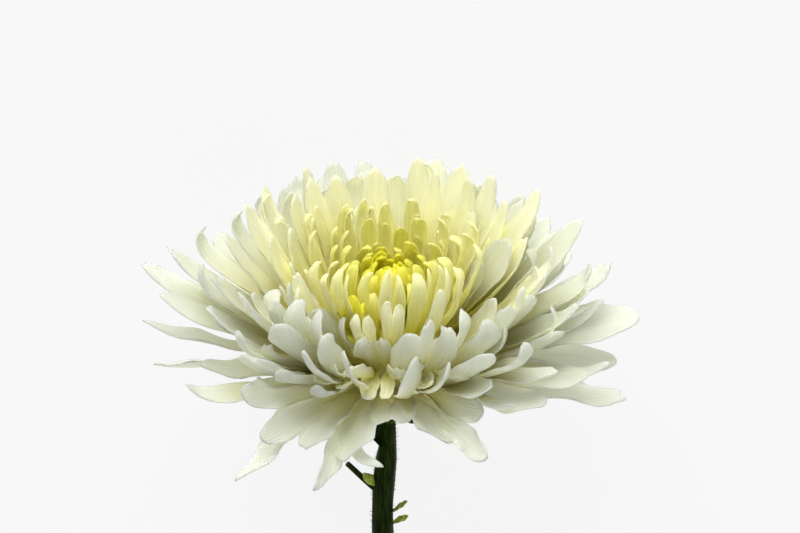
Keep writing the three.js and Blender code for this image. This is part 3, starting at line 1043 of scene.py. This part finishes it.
def blade_of(rule: GrowthRule, share: float, number: int, scatter: float) -> Blade:
    """Takes a blade from a rule, with its own small differences.

    Args:
        rule: The rule.
        share: Place in the rule.
        number: Number of the blade.
        scatter: How much it may differ, 1 for the most.

    Returns:
        The blade.
    """
    return Blade(
        azimuth=number * GOLDEN_ANGLE + 5 * scatter * jitter(number, Draw.AZIMUTH),
        share=share,
        root_radius=rule.at("root_radius", share),
        root_height=rule.at("root_height", share),
        rise=rule.at("rise", share) + 7 * scatter * jitter(number, Draw.RISE),
        curl=rule.at("curl", share) + 14 * scatter * jitter(number, Draw.CURL),
        swing=12 * scatter * jitter(number, Draw.SWING),
        twist=22 * scatter * jitter(number, Draw.TWIST),
        length=rule.at("length", share) * (1 + 0.07 * scatter * jitter(number, Draw.LENGTH)),
        width=rule.at("width", share) * (1 + 0.12 * scatter * jitter(number, Draw.WIDTH)),
        fold=rule.at("fold", share),
        number=number,
    )


def rows_of(rule: GrowthRule, count: int, scatter: float) -> list[Blade]:
    """Spreads blades over a rule's shares, each a golden angle on from the last."""
    return [blade_of(rule, index / (count - 1), index, scatter) for index in range(count)]


def own_blades(rule: GrowthRule, florets: Sequence[OwnFloret], first: int) -> list[Blade]:
    """Makes blades of the florets that stand out of a rule.

    Args:
        rule: The rule.
        florets: The florets.
        first: Number of the first blade.

    Returns:
        The blades.
    """
    return [
        replace(
            blade_of(rule, one.share, first + index, 0),
            azimuth=one.azimuth,
            rise=one.rise,
            curl=one.curl,
            length=one.length,
            width=rule.at("width", one.share) * one.broadness,
            swing=one.swing,
            twist=one.twist,
            tip=one.tip,
            tint=one.tint,
        )
        for index, one in enumerate(florets)
    ]


# A difference of this much in share counts as a whole turn in azimuth.
SHARE_WEIGHT = 2.5


def made_room(own: Sequence[Blade], rows: Sequence[Blade]) -> list[Blade]:
    """Takes out of a rule's rows the blade nearest to each of the florets that stand out.

    Args:
        own: The florets that stand out.
        rows: The rule's blades.

    Returns:
        The blades that stay.
    """
    left = list(rows)
    for one in own:
        nearest = min(
            left,
            key=lambda f: math.hypot(
                apart(f.azimuth, one.azimuth) / 360, (f.share - one.share) / SHARE_WEIGHT
            ),
        )
        left.remove(nearest)
    return left


def profile_radius(profile: Sequence[tuple[float, float]], height: float) -> float:
    """Reads the radius of an outline that is given by pairs of radius and rising height.

    Args:
        profile: The outline's pairs.
        height: Where to read it.

    Returns:
        The radius there.
    """
    for (r0, z0), (r1, z1) in zip(profile, profile[1:]):
        if height <= z1:
            return r0 + (r1 - r0) * max(0.0, (height - z0) / (z1 - z0))
    return profile[-1][0]


# Outline between the heart, inside it, and the rays, outside it.
HEART_OUTLINE = ((10.0, 8.0), (11.2, 12.0), (16.0, 22.0), (20.5, 36.0), (20.5, 60.0))


@dataclass
class RayFlorets:
    """The white florets, in layers from the drooping outer ones to the upright inner ones.

    Attributes:
        count: Florets of the rule, before those that stand out take their places.
        infill: Draws of narrow florets between the rows.
        infill_from: Share of the first of these.
        infill_span: How far their shares reach from there.
        infill_broadness: Their width as a share of the rule's.
        infill_length: Their mean length as a share of the rule's.
        pressed: How far a floret may reach into the table before it is bent up, in millimetres.
        bend_step: Degrees that it is bent at a time.
        steepest: Rise at which it isn't bent any further.
        clearance: Gap between the heart and these florets.
        stunted_azimuth: Middle of the patch of stunted florets.
        stunted_reach: Degrees to either side that it reaches.
        stunted_from: Share at which it starts.
        stunted_tint: Share whose colour its florets take.
        stunted_length: Their mean length as a share of the rule's.
        stunted_width: Their mean width as a share of the rule's.
        stunted_rise: Degrees that they stand steeper.
        hook: Most degrees that a tip bends in.
        toothed_over: Draw over which a tip is toothed.
        pointed_under: Draw under which a tip is pointed.
        receptacle: Outline of the part that they grow from.
        receptacle_tint: Share whose colour it takes.
        form: What the florets have in common.
        finish: What they are made of.
    """

    count: int = 140
    infill: int = 80
    infill_from: float = 0.08
    infill_span: float = 0.819
    infill_broadness: float = 0.72
    infill_length: float = 0.74
    pressed: float = 0.25
    bend_step: float = 0.25
    steepest: float = 110
    clearance: float = 0.3
    stunted_azimuth: float = -84
    stunted_reach: float = 40
    stunted_from: float = 0.55
    stunted_tint: float = 0.5
    stunted_length: float = 0.32
    stunted_width: float = 0.7
    stunted_rise: float = 8
    hook: float = 95
    toothed_over: float = 0.35
    pointed_under: float = -0.8
    receptacle: Sequence[tuple[float, float]] = (
        (0, 1.2), (12.4, 1.2), (13.8, 3.2), (12.9, 6.4), (11.1, 10.4), (10.3, 7.7), (0, 7.7)
    )
    receptacle_tint: float = 0.1
    form: BladeForm = BladeForm(across=12, along=18, thickness=0.4)
    # The greyed blade and the dull olive claw are in part painted shade of the outer florets and the bloom's
    # depth, over the white and the sap's yellow of the petals.
    finish: PetalFinish = PetalFinish(
        name="white petal, living",
        blade="D8DCD2",
        claw="D4CB74",
        young_claw="E6E064",
        young_blade="F6F5D2",
        young_from=0.4,
        young_to=1.0,
        glow=0.7,
        glow_reach=3.0,
    )

    def blades(self) -> list[Blade]:
        """All the florets, bent clear of the table."""
        outstanding = LEFT_FLORETS + RIGHT_FLORETS + DROOPING_FLORETS
        outstanding += FRONT_FLORETS + CROWN_FLORETS + SKIRT_FLORETS
        own = own_blades(RAY_RULE, outstanding, self.count)
        rows = made_room(own, rows_of(RAY_RULE, self.count, 1))
        filling = own_blades(RAY_RULE, FILLING_FLORETS, FIRST_FILLING)
        filling += self.between_rows(filling)
        return [self.bent_clear(b) for b in [self.stunted(b) for b in rows] + own + filling]

    def between_rows(self, taken: Sequence[Blade]) -> list[Blade]:
        """Narrower, shorter florets that fill the rows from within.

        Args:
            taken: Florets that fill the rows already, which these keep clear of.

        Returns:
            The blades, none of them in the stunted patch.
        """
        made = []
        for index in range(self.infill):
            share = self.infill_from + self.infill_span * (index + 0.5) / self.infill
            blade = blade_of(RAY_RULE, share, FIRST_RAY_BETWEEN + index, 1)
            off = apart(blade.azimuth, self.stunted_azimuth) / self.stunted_reach
            by_patch = off < 1.3
            if off < 0.6 or (by_patch and not 0.2 < share < 0.45):
                continue
            if any(apart(f.azimuth, blade.azimuth) < 12 and abs(f.share - share) < 0.12 for f in taken):
                continue
            uneven = 0.14 * jitter(blade.number, Draw.BETWEEN)
            length = blade.length * (self.infill_length + uneven - 0.1 * by_patch)
            made.append(replace(blade, width=blade.width * self.infill_broadness, length=length))
        return made

    def stunted(self, blade: Blade) -> Blade:
        """Shortens and opens a floret of the stunted patch, which leaves the heart's crown in the open."""
        inside = apart(blade.azimuth, self.stunted_azimuth) < self.stunted_reach
        if not inside or blade.share <= self.stunted_from:
            return blade
        uneven = jitter(blade.number, Draw.STUNTED)
        return replace(
            blade,
            tint=self.stunted_tint,
            length=blade.length * (self.stunted_length + 0.08 * uneven),
            width=blade.width * (self.stunted_width + 0.12 * uneven),
            rise=blade.rise + self.stunted_rise,
            twist=blade.twist - 40 * uneven,
        )

    def bent_clear(self, blade: Blade) -> Blade:
        """Bends a floret up from the table until it only rests on it."""
        rings = (0.36, 0.7, 0.93)
        while blade.rise < self.steepest:
            stations = spine(blade)
            lowest = min(
                LYING.height(self.form.point(blade, stations, s, u)) - (0.4 if u == 0 else 0)
                for s in rings
                for u in (-1, 0, 1)
            )
            if lowest >= -self.pressed:
                break
            blade = replace(blade, rise=blade.rise + self.bend_step)
        return blade

    def kept_out(self, point: Vector) -> Vector:
        """Pushes a point out of the heart and up from the table."""
        radius = math.hypot(point.x, point.y)
        least = profile_radius(HEART_OUTLINE, point.z) + self.clearance
        if point.z > HEART_OUTLINE[0][1] and radius < least:
            point = Vector((point.x * least / radius, point.y * least / radius, point.z))
        sunk = 0.5 * self.form.thickness - LYING.height(point)
        if sunk > 0:
            point.z += sunk * math.sin(LYING.slope)
            point.y -= sunk * math.cos(LYING.slope)
        return point

    def dressed(self, blade: Blade) -> Blade:
        """Gives a floret its hook, and a livelier twist and a deeper channel near the stunted patch."""
        near = 1 - smoothstep(apart(blade.azimuth, self.stunted_azimuth), 40, 90)
        hook = smoothstep(jitter(blade.number, Draw.HOOK), -0.2 - 0.6 * near, 1 - 0.5 * near)
        return replace(
            blade,
            hook=self.hook * smoothstep(blade.share, 0.05, 0.5) * hook,
            twist=blade.twist * (1.2 + 0.8 * near),
            width=blade.width * (1 - 0.25 * near * smoothstep(blade.share, 0.6, 0.9)),
            fold=blade.fold * (1 + 0.3 * near),
        )

    def tip(self, number: int) -> Tip:
        """Picks the outline of a floret's tip."""
        draw = jitter(number, Draw.TIP)
        if draw > self.toothed_over:
            return Tip.TOOTHED
        return Tip.POINTED if draw < self.pointed_under else Tip.ROUND

    def build(self) -> bpy.types.Object:
        """Makes the piece."""
        bm = new_blade_mesh()
        for blade in self.blades():
            tip = blade.tip or self.tip(blade.number)
            add_blade(bm, self.dressed(blade), self.form, tip, self.kept_out)
        add_receptacle(bm, self.receptacle, self.receptacle_tint)
        piece = finish_piece(bm, "ray_florets_petals", ["ray_florets"], [self.finish.build()])
        give_thickness(piece, self.form.thickness)
        return piece


# ---------------------------------------------------------------- heart


HEART_RULE = GrowthRule(
    share=(0, 0.2, 0.42, 0.6, 0.8, 1),
    root_radius=(8.8, 8.3, 7.4, 6, 3.6, 0.8),
    root_height=(12.6, 13.2, 14, 14.8, 15.6, 16),
    rise=(62, 68, 78, 88, 94, 90),
    curl=(56, 58, 60, 52, 34, 20),
    length=(27, 25, 20, 15.5, 12.5, 11),
    width=(4.2, 4, 3.8, 3.6, 3.6, 3.6),
    fold=(130, 140, 155, 170, 185, 190),
)


@dataclass
class HeartFlorets:
    """The yellow-green florets of the heart, from the upright crown to the buds in the middle.

    Attributes:
        count: Florets of the rule, before those that stand out take their places.
        infill: Draws of narrow florets between the rows.
        scatter: How much those of the rule may differ, 1 for the most.
        hook: Most degrees that a tip bends in.
        liveliness: What every twist is multiplied by.
        open_azimuth: Middle of the front, which the florets between the rows leave open.
        open_reach: Degrees to either side that it reaches.
        open_to: Share up to which it is left open, and up to which a tip may be pointed.
        receptacle: Outline of the part that they grow from.
        receptacle_tint: Share whose colour it takes.
        form: What the florets have in common.
        finish: What they are made of.
    """

    count: int = 66
    infill: int = 60
    scatter: float = 0.9
    hook: float = 80
    liveliness: float = 2.2
    open_azimuth: float = -90
    open_reach: float = 50
    open_to: float = 0.45
    receptacle: Sequence[tuple[float, float]] = (
        (0, 8), (9.9, 8), (10.8, 10.6), (8, 14), (4, 15.8), (0, 16.2)
    )
    receptacle_tint: float = 0.15
    form: BladeForm = BladeForm(across=10, along=14, thickness=0.4, pinch=60, ruffle=0.12)
    finish: PetalFinish = PetalFinish(
        name="young yellow-green petal, living",
        blade="FAF8BC",
        claw="F0E868",
        young_claw="DCD81C",
        young_blade="EEE836",
        young_from=0.15,
        young_to=0.8,
        glow=0.6,
        glow_reach=1.6,
    )

    def kept_in(self, point: Vector) -> Vector:
        """Draws a point into the heart."""
        radius = math.hypot(point.x, point.y)
        most = profile_radius(HEART_OUTLINE, point.z)
        if radius > most:
            return Vector((point.x * most / radius, point.y * most / radius, point.z))
        return point

    def blades(self) -> list[Blade]:
        """All the florets, with others between the rows, of uneven length."""
        own = own_blades(HEART_RULE, CLAWS, self.count)
        rows = made_room(own, rows_of(HEART_RULE, self.count, self.scatter))
        within = [
            blade_of(HEART_RULE, (index + 0.5) / self.infill, FIRST_HEART_BETWEEN + index, 1)
            for index in range(self.infill)
        ]
        within = [replace(b, length=b.length * (0.9 + 0.2 * jitter(b.number, Draw.BETWEEN))) for b in within]
        return rows + own + [b for b in within if self.clear_of_front(b)]

    def clear_of_front(self, blade: Blade) -> bool:
        """Says whether a floret is outside the part of the front that is left open."""
        return apart(blade.azimuth, self.open_azimuth) > self.open_reach or blade.share > self.open_to

    def build(self) -> bpy.types.Object:
        """Makes the piece."""
        bm = new_blade_mesh()
        for blade in self.blades():
            hook = self.hook * (0.6 + 0.4 * jitter(blade.number, Draw.HOOK))
            pointed = blade.share < self.open_to and jitter(blade.number, Draw.TIP) > -0.3
            tip = Tip.POINTED if pointed else Tip.ROUND
            turned = replace(blade, hook=hook, twist=self.liveliness * blade.twist)
            add_blade(bm, turned, self.form, tip, self.kept_in)
        add_receptacle(bm, self.receptacle, self.receptacle_tint)
        piece = finish_piece(
            bm, "heart_florets_petals", ["heart_florets"], [self.finish.build()]
        )
        give_thickness(piece, self.form.thickness)
        return piece


# ---------------------------------------------------------------- stem


def catmull_rom(points: Sequence[Vector], count: int) -> list[Vector]:
    """Draws a smooth curve through points.

    Args:
        points: The points, from one end to the other.
        count: Steps of the curve.

    Returns:
        Its points, one more than the steps.
    """
    ends = [points[0] * 2 - points[1], *points, points[-1] * 2 - points[-2]]
    curve = []
    for k in range(count + 1):
        at = k / count * (len(points) - 1)
        n = min(len(points) - 2, int(at))
        t = at - n
        a, b, c, d = ends[n : n + 4]
        curve.append(
            0.5 * (2 * b + (c - a) * t + (2 * a - 5 * b + 4 * c - d) * t**2 + (3 * b - a - 3 * c + d) * t**3)
        )
    return curve


def between(values: Sequence[float], share: float) -> float:
    """Reads a row of evenly spaced values at a share of its length."""
    at = min(1.0, max(0.0, share)) * (len(values) - 1)
    k = min(len(values) - 2, int(at))
    return values[k] + (at - k) * (values[k + 1] - values[k])


def add_tube(
    bm: bmesh.types.BMesh,
    points: Sequence[Vector],
    radius_at: Callable[[float, float], float],
    sides: int,
) -> None:
    """Adds a closed tube along points by extruding a circle from ring to ring.

    Args:
        bm: The mesh.
        points: Middles of its rings, from one end to the other.
        radius_at: Radius for a share of the length and an angle about it, in radians.
        sides: Sides of the section.
    """
    ring = bmesh.ops.create_circle(bm, cap_ends=True, segments=sides, radius=1.0)["verts"]
    angles = {v: math.atan2(v.co.y, v.co.x) for v in ring}
    edges = list(ring[0].link_faces[0].edges)
    for k, middle in enumerate(points):
        if k > 0:
            made = bmesh.ops.extrude_edge_only(bm, edges=edges)["geom"]
            new_ring = [g for g in made if isinstance(g, bmesh.types.BMVert)]
            for v in new_ring:
                from_edge = next(e for e in v.link_edges if e.other_vert(v) in ring)
                angles[v] = angles[from_edge.other_vert(v)]
            ring = new_ring
            edges = [g for g in made if isinstance(g, bmesh.types.BMEdge) and all(v in ring for v in g.verts)]
        along = (points[min(len(points) - 1, k + 1)] - points[max(0, k - 1)]).normalized()
        side = (Vector((1, 0, 0)) - along * along.x).normalized()
        up = along.cross(side)
        for v in ring:
            radius = radius_at(k / (len(points) - 1), angles[v])
            v.co = middle + (side * math.cos(angles[v]) + up * math.sin(angles[v])) * radius
    bmesh.ops.contextual_create(bm, geom=edges)
    faces = {f for v in angles for f in v.link_faces}
    for f in faces:
        f.smooth = len(f.verts) == 4
    bmesh.ops.recalc_face_normals(bm, faces=list(faces))


BRACT_RULE = GrowthRule(
    share=(0, 0.5, 1),
    root_radius=(3.4, 6, 8.6),
    root_height=(-4.4, -2.9, -1.6),
    rise=(22, 12, 4),
    curl=(6, 24, 60),
    length=(6.2, 7.4, 7.8),
    width=(3, 3.5, 3.9),
    fold=(40, 40, 44),
)


@dataclass(frozen=True)
class Stub:
    """A small leaf, or what is left of a stripped one. It is rooted on the axis of the stem.

    Attributes:
        azimuth: As a blade's.
        height: Height of its root over the base of the bloom, negative down the stem.
        rise: As a blade's.
        length: As a blade's.
        width: As a blade's.
    """

    azimuth: float
    height: float
    rise: float
    length: float
    width: float

    def blade(self, number: int) -> Blade:
        """The stub as a blade."""
        return Blade(
            azimuth=self.azimuth,
            share=0.0,
            root_radius=0.0,
            root_height=self.height,
            rise=self.rise,
            curl=12,
            swing=0,
            twist=0,
            length=self.length,
            width=self.width,
            fold=60,
            number=number,
        )


def rod_radius(radii: Sequence[float]) -> Callable[[float, float], float]:
    """Gives the radius of a round rod by its share of the length."""
    return lambda share, angle: between(radii, share)


@dataclass
class Stem:
    """The cut stem with the green cup of bracts under the bloom, a thin side shoot and what leaves left.

    Attributes:
        path: Points along its middle, from the bloom down, past the cut.
        radii: Radii at even steps along it.
        ribs: Ribs about it.
        rib_depth: Depth of the furrows.
        rings: Rings of faces along it.
        sides: Faces about it.
        cut_slant: Degrees that the cut is off square.
        cortex: Width of the green rim around the pith.
        bract_count: Bracts under the bloom.
        top: Height of the underside of the bloom, which they press against.
        top_radius: Distance from the axis from which that underside rises.
        top_slope: How much it rises from there, for each millimetre outwards.
        involucre: Outline of the cup that they grow from.
        stubs: The small leaf, the two small bracts below it and the stubs of stripped leaves.
        shoot: Points along the side shoot.
        shoot_radii: Radii at even steps along it.
        bud: Points along the bud in its axil.
        bud_radii: Radii at even steps along it.
        hair_count: Hairs, with those that would reach into the table.
        hair_length: Their mean length.
        hair_radius: Radius at their root.
        bract_form: What the bracts have in common.
        skin: Finish of the stem and the small leaf.
        young: Finish of the bracts under the bloom.
        tender: Finish of the bud and the stubs.
        pith: Finish of the cut face.
        hair: Finish of the hairs.
    """

    path: Sequence[tuple[float, float, float]] = (
        (0, 0, -4), (-0.4, 0, -14), (-1.9, 0.2, -36), (-0.8, 0.8, -66), (-0.4, 0.4, -98), (0, 0, -129)
    )
    radii: Sequence[float] = (
        1.4, 1.25, 1.25, 1.3, 1.7, 2.35, 2.5, 2.35, 2.5, 2.25, 2.2, 2.25, 2.3, 2.3, 2.7, 2.4, 2.4, 2.5, 2.75
    )
    ribs: int = 7
    rib_depth: float = 0.07
    rings: int = 110
    sides: int = 42
    cut_slant: float = 35
    cortex: float = 0.55
    bract_count: int = 46
    top: float = 0.9
    top_radius: float = 12.9
    top_slope: float = 1.43
    involucre: Sequence[tuple[float, float]] = (
        (0, -7), (1.5, -7), (2.2, -5.6), (4.8, -3.8), (9.4, -1.6), (12, -0.4), (12.6, 0.9), (0, 0.9)
    )
    stubs: Sequence[Stub] = (
        Stub(150, -20, 58, 12, 7.5),
        Stub(-10, -35.8, 46, 5.2, 2.2),
        Stub(10, -38.8, 24, 4.2, 2),
        Stub(200, -57, 60, 5.5, 2.4),
        Stub(20, -99, 60, 5.5, 2.4),
    )
    shoot: Sequence[tuple[float, float, float]] = ((-2, 0, -30), (-4.6, -0.2, -27.8), (-9.4, -0.4, -22.2))
    shoot_radii: Sequence[float] = (1.1, 0.75, 0.65, 0.6)
    bud: Sequence[tuple[float, float, float]] = ((-3, -0.4, -27.4), (-5, -0.6, -25.8), (-5.9, -0.6, -24.8))
    bud_radii: Sequence[float] = (0.9, 1.1, 0.8, 0.3)
    hair_count: int = 1400
    hair_length: float = 0.8
    hair_radius: float = 0.045
    bract_form: BladeForm = BladeForm(
        across=6, along=10, thickness=0.4, claw=0.8, pinch=0, ruffle=0.05, crinkle=0, tip_from=0.5
    )
    skin: GreenFinish = GreenFinish("green stem skin, living", "081001", "2C4006", roughness=0.55)
    young: GreenFinish = GreenFinish("young green bract, living", "2E4612", "5E7C28", margin="A8AE62")
    tender: GreenFinish = GreenFinish("tender green bud, living", "7C9A24", "D2DC6A")
    pith: GreenFinish = GreenFinish("cut pith, fresh", "A9B07A", "D3D6A8", roughness=0.7)
    hair: GreenFinish = GreenFinish("fine stem hair, living", "1C2E0A", "4A6422")

    def ribbed(self, share: float, angle: float) -> float:
        """Radius of the stem: ribs run along it and turn slowly about it."""
        wave = math.cos(self.ribs * angle + 2.5 * share) + 0.5 * math.cos(3 * angle - 4 * share)
        return between(self.radii, share) - self.rib_depth * (1 - wave)

    def build(self) -> None:
        """Makes the pieces."""
        self.build_skin()
        self.build_bracts()
        self.build_hairs()

    def middle(self) -> list[Vector]:
        """Points along the middle of the stem."""
        return catmull_rom([Vector(p) for p in self.path], self.rings)

    def build_skin(self) -> None:
        """Makes the stem, cut at a slant, with its side shoot and the cup under the bloom."""
        bm = new_blade_mesh()
        add_tube(bm, self.middle(), self.ribbed, self.sides)
        self.cut(bm)
        add_tube(bm, catmull_rom([Vector(p) for p in self.shoot], 12), rod_radius(self.shoot_radii), 12)
        add_receptacle(bm, self.involucre, 0.0)
        for v in bm.verts:
            v.co = self.on_table(v.co)
        finish_piece(bm, "stem_skin", ["stem"], [self.skin.build(), self.pith.build()])

    def cut(self, bm: bmesh.types.BMesh) -> None:
        """Cuts the end of the stem at a slant and shows the pith inside the green rim.

        Args:
            bm: The mesh, with the stem alone.
        """
        slant = math.radians(self.cut_slant)
        lift = Vector((0, 0, LYING.cut_radius * math.tan(slant) - LYING.stem_length))
        cut = bmesh.ops.bisect_plane(
            bm,
            geom=bm.verts[:] + bm.edges[:] + bm.faces[:],
            plane_co=lift,
            plane_no=(0, -math.sin(slant), -math.cos(slant)),
            clear_outer=True,
        )["geom_cut"]
        rim = [g for g in cut if isinstance(g, bmesh.types.BMEdge)]
        faces = bmesh.ops.contextual_create(bm, geom=rim)["faces"]
        bmesh.ops.recalc_face_normals(bm, faces=bm.faces[:])
        bmesh.ops.inset_region(bm, faces=faces, thickness=self.cortex)
        for f in faces:
            f.material_index = 1
            f.smooth = False

    @staticmethod
    def on_table(point: Vector) -> Vector:
        """Lifts a point that would sink into the table."""
        sunk = -LYING.height(point)
        if sunk <= 0:
            return point
        return point + Vector((0, -sunk * math.cos(LYING.slope), sunk * math.sin(LYING.slope)))

    def under_bloom(self, point: Vector) -> Vector:
        """Keeps a point of a bract pressed against the underside of the bloom, and over the table."""
        top = self.top + self.top_slope * max(0.0, math.hypot(point.x, point.y) - self.top_radius)
        return self.on_table(Vector((point.x, point.y, min(point.z, top))))

    def build_bracts(self) -> None:
        """Makes the bracts under the bloom and the small leaf and stubs on the stem."""
        bm = new_blade_mesh()
        form = self.bract_form
        for blade in rows_of(BRACT_RULE, self.bract_count, 0.4):
            add_blade(bm, blade, form, Tip.POINTED, self.under_bloom)
        form = replace(form, claw=0.4, ruffle=0.15, tip_from=0.7)
        for number, stub in enumerate(self.stubs):
            first = len(bm.faces)
            add_blade(bm, stub.blade(number), form, Tip.POINTED, self.on_table)
            self.paint(bm, first, 1 if stub.length > 10 else 2)
        first = len(bm.faces)
        add_tube(bm, catmull_rom([Vector(p) for p in self.bud], 12), rod_radius(self.bud_radii), 12)
        self.paint(bm, first, 2)
        finishes = [self.young.build(), self.skin.build(), self.tender.build()]
        piece = finish_piece(bm, "stem_bracts", ["stem"], finishes)
        give_thickness(piece, form.thickness)

    @staticmethod
    def paint(bm: bmesh.types.BMesh, first: int, material: int) -> None:
        """Gives the faces of a mesh, from the first one on, one of the piece's materials."""
        for face in list(bm.faces)[first:]:
            face.material_index = material

    def build_hairs(self) -> None:
        """Makes the short fine hairs of the stem."""
        bm = new_blade_mesh()
        middle = self.middle()
        for n in range(self.hair_count):
            share = 0.02 + 0.9 * (n + 0.5) / self.hair_count
            k = min(len(middle) - 2, int(share * (len(middle) - 1)))
            along = (middle[k + 1] - middle[k]).normalized()
            angle = math.radians(n * GOLDEN_ANGLE) + jitter(n, HairDraw.TURN)
            side = (Vector((1, 0, 0)) - along * along.x).normalized()
            out = side * math.cos(angle) + along.cross(side) * math.sin(angle)
            lean = (out - along * (0.6 + 0.5 * jitter(n, HairDraw.LEAN))).normalized()
            length = self.hair_length * (1 + 0.5 * jitter(n, HairDraw.LENGTH))
            root = middle[k] + out * (self.ribbed(share, angle) - 0.05)
            if LYING.height(root + lean * length) < 0:
                continue
            turn = lean.to_track_quat("Z", "X").to_matrix().to_4x4()
            bmesh.ops.create_cone(
                bm,
                cap_ends=False,
                segments=3,
                radius1=self.hair_radius,
                radius2=0.0,
                depth=length,
                matrix=Matrix.Translation(root + lean * (length / 2)) @ turn,
            )
        finish_piece(bm, "stem_hairs", ["stem"], [self.hair.build()])


# ---------------------------------------------------------------- studio


@dataclass
class Studio:
    """A pale table that glows softly, light from the open face of the bloom, and the camera over it.

    Attributes:
        target: Point of the upright flower that the camera looks at, in millimetres.
        distance: From there to the camera, in millimetres.
        elevation: Degrees of the camera over the plane across the flower's axis.
        lens: Focal length, in millimetres.
        sensor: Width of the sensor, in millimetres.
        lit: Point of the upright flower that the lights face, in millimetres.
    """

    target: Vector = field(default_factory=lambda: Vector((2.0, 3.132, 25.508)))
    distance: float = 460.0
    elevation: float = 31.0
    lens: float = 100.0
    sensor: float = 36.0
    lit: Vector = field(default_factory=lambda: Vector((0, 0, 20)))

    def build(self) -> None:
        """Makes the table, the lights, the sky and the camera."""
        bpy.context.scene.view_settings.view_transform = "Standard"
        self.table()
        self.lights()
        self.camera()

    def table(self) -> None:
        """Makes the pale table."""
        bm = bmesh.new()
        bmesh.ops.create_grid(bm, x_segments=1, y_segments=1, size=3.0)
        mesh = bpy.data.meshes.new("table")
        bm.to_mesh(mesh)
        bm.free()
        table = bpy.data.objects.new("table", mesh)
        bpy.context.scene.collection.objects.link(table)
        material, tree = new_material("opal light table")
        top = add_node(
            tree,
            "ShaderNodeBsdfPrincipled",
            {
                "Base Color": linear("5C5D5D"),
                "Roughness": 0.9,
                "Emission Color": linear("F6F6F6"),
                "Emission Strength": 0.925,
            },
        )
        add_node(tree, "ShaderNodeOutputMaterial", {"Surface": top.outputs["BSDF"]})
        mesh.materials.append(material)

    def light(self, name: str, place: Vector, size: float, watts: float) -> None:
        """Adds a square area light that faces the bloom.

        Args:
            name: Name of the light.
            place: Where it stands, in metres.
            size: Length of its side, in metres.
            watts: Its power.
        """
        data = bpy.data.lights.new(name, "AREA")
        data.shape = "SQUARE"
        data.size = size
        data.energy = watts
        light = bpy.data.objects.new(name, data)
        light.location = place
        bloom = LYING.matrix @ self.lit
        light.rotation_euler = (bloom - place).to_track_quat("-Z", "Y").to_euler()
        bpy.context.scene.collection.objects.link(light)

    def lights(self) -> None:
        """Adds the soft light before the bloom's face, a weak fill and a pale sky."""
        self.light("key", place=Vector((-0.2, 1.6, 0.6)), size=1.3, watts=24.0)
        self.light("fill", place=Vector((0.4, -0.6, 1.0)), size=1.4, watts=3.2)
        world = bpy.data.worlds.new("pale sky")
        bpy.context.scene.world = world
        world.use_nodes = True
        background = world.node_tree.nodes["Background"]
        background.inputs["Color"].default_value = linear("F7F8F9")
        background.inputs["Strength"].default_value = 0.33

    def camera(self) -> None:
        """Sets the camera over the flower, a little above the plane of its bloom."""
        data = bpy.data.cameras.new("camera")
        data.lens = self.lens
        data.sensor_width = self.sensor
        data.clip_start = 0.01
        data.clip_end = 10.0
        camera = bpy.data.objects.new("camera", data)
        elevation = math.radians(self.elevation)
        laid = LYING.matrix.to_3x3()
        away = (laid @ Vector((0, -math.cos(elevation), math.sin(elevation)))).normalized()
        across = (laid @ Vector((1, 0, 0))).normalized()
        camera.matrix_world = Matrix.Translation(
            LYING.matrix @ self.target + away * (self.distance * MM)
        ) @ Matrix((across, away.cross(across), away)).transposed().to_4x4()
        bpy.context.scene.collection.objects.link(camera)
        bpy.context.scene.camera = camera


def main() -> None:
    """Builds the flower and the scene around it."""
    logging.basicConfig(level=logging.INFO)
    Studio().build()
    RayFlorets().build()
    HeartFlorets().build()
    Stem().build()


if __name__ == "__main__":
    main()
